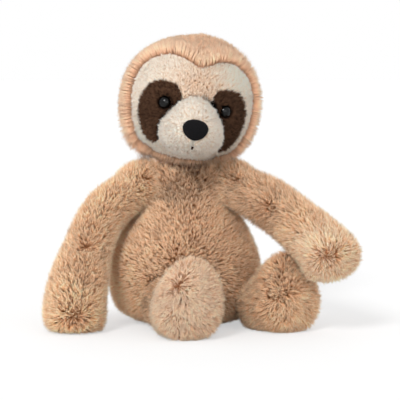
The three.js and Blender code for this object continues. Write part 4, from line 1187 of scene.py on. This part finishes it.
def make_inside():
    lumps = [("body", "torso"), ("head", "head")] + [(limb["name"], limb["name"]) for limb in LIMBS]
    for k, (name, body) in enumerate(lumps):
        make_filling(name + "_stuffing", name + "_filling", body, FILLING, 0.5, k)
    make_filling("seat_bean_pouch", "seat_pouch", "torso", POUCH, 0.15, 9)
    for name in ("right_eye_washer", "left_eye_washer"):
        frame["nodes"][name].data.materials.clear()
        frame["nodes"][name].data.materials.append(WASHER)


def make_threads():
    """The seams' threads lie at the root of the pile, drawn in towards the ball that they go round."""
    seams = [(limb["name"] + "_seam_thread", limb["pivot"], THREAD_SINK) for limb in LIMBS]
    seams += [(node, NECK_POINT, NECK_THREAD_SINK) for node in ("neck_gather_thread", "neck_seam_thread")]
    for node, centre, sink in seams:
        obj = node_copy(node, node + "_sunk", THREAD)
        away = vertex_rows(obj, "co") / MM - centre
        move_vertices(obj, centre + away - unit(away) * sink)
        declare(obj, frame["nodes"][node].parent.name.split(":", 1)[1], node)


# ---- stage
def make_stage():
    size = FLOOR_HALF
    mesh = bpy.data.meshes.new("floor")
    mesh.from_pydata([(-size, -size, 0), (size, -size, 0), (size, size, 0), (-size, size, 0)], [], [(0, 1, 2, 3)])
    mat, tree, shader = material("floor_white", specular=0.0)
    shader.inputs["Emission Color"].default_value = WHITE
    # the camera sees it whiter than the toy does
    seen = add(tree, "LightPath").outputs["Is Camera Ray"]
    feed(shader.inputs["Emission Strength"], maths(tree, "MULTIPLY", seen, FLOOR_LIFT))
    feed(shader.inputs["Base Color"], mix_colour(tree, seen, gray(FLOOR_BOUNCE), gray(FLOOR_TONE)))
    mesh.materials.append(mat)
    add_object("floor", mesh)

    world = bpy.data.worlds.new("studio")
    bpy.context.scene.world = world
    world.use_nodes = True
    tree = world.node_tree
    # softer light from straight above than from around
    way = add(tree, "SeparateXYZ", add(tree, "TexCoord").outputs["Generated"])
    level = ramp(tree, way.outputs[2], [(place, gray(value)) for place, value in WORLD_LEVELS])
    around_toy = tree.nodes["Background"]
    feed(around_toy.inputs["Color"], WHITE)
    feed(around_toy.inputs["Strength"], level)
    seen = add(tree, "Background", WHITE, 1.0)
    rays = add(tree, "LightPath").outputs
    white = maths(tree, "MAXIMUM", rays["Is Camera Ray"], rays["Is Glossy Ray"])
    white = maths(tree, "MAXIMUM", white, rays["Is Transmission Ray"])
    mix = add(tree, "MixShader", white, around_toy.outputs[0], seen.outputs[0])
    feed(tree.nodes["World Output"].inputs["Surface"], mix.outputs[0])

    for name, (way, strength, width) in SUNS.items():
        light = bpy.data.lights.new(name, "SUN")
        light.energy, light.angle = strength, radians(width)
        add_object(name, light).rotation_euler = Vector(way).to_track_quat("-Z", "Y").to_euler()

    camera = bpy.data.cameras.new("camera")
    rig = add_object("camera", camera)
    rig.location = CAMERA_PLACE
    rig.rotation_euler = (CAMERA_AIM - CAMERA_PLACE).to_track_quat("-Z", "Y").to_euler()
    camera.sensor_width = SENSOR_WIDTH
    camera.lens = SENSOR_WIDTH * (CAMERA_AIM - CAMERA_PLACE).length / VIEW_WIDTH
    camera.clip_start, camera.clip_end = 0.01, 50
    bpy.context.scene.camera = rig
    bpy.context.scene.view_settings.view_transform = "Standard"


make_stage()
make_body()
for number, limb in enumerate(LIMBS):
    make_limb(limb, LIMB_SEED + number)
make_head()
make_muzzle()
make_nose()
make_eyes()
make_mouth()
make_inside()
make_threads()
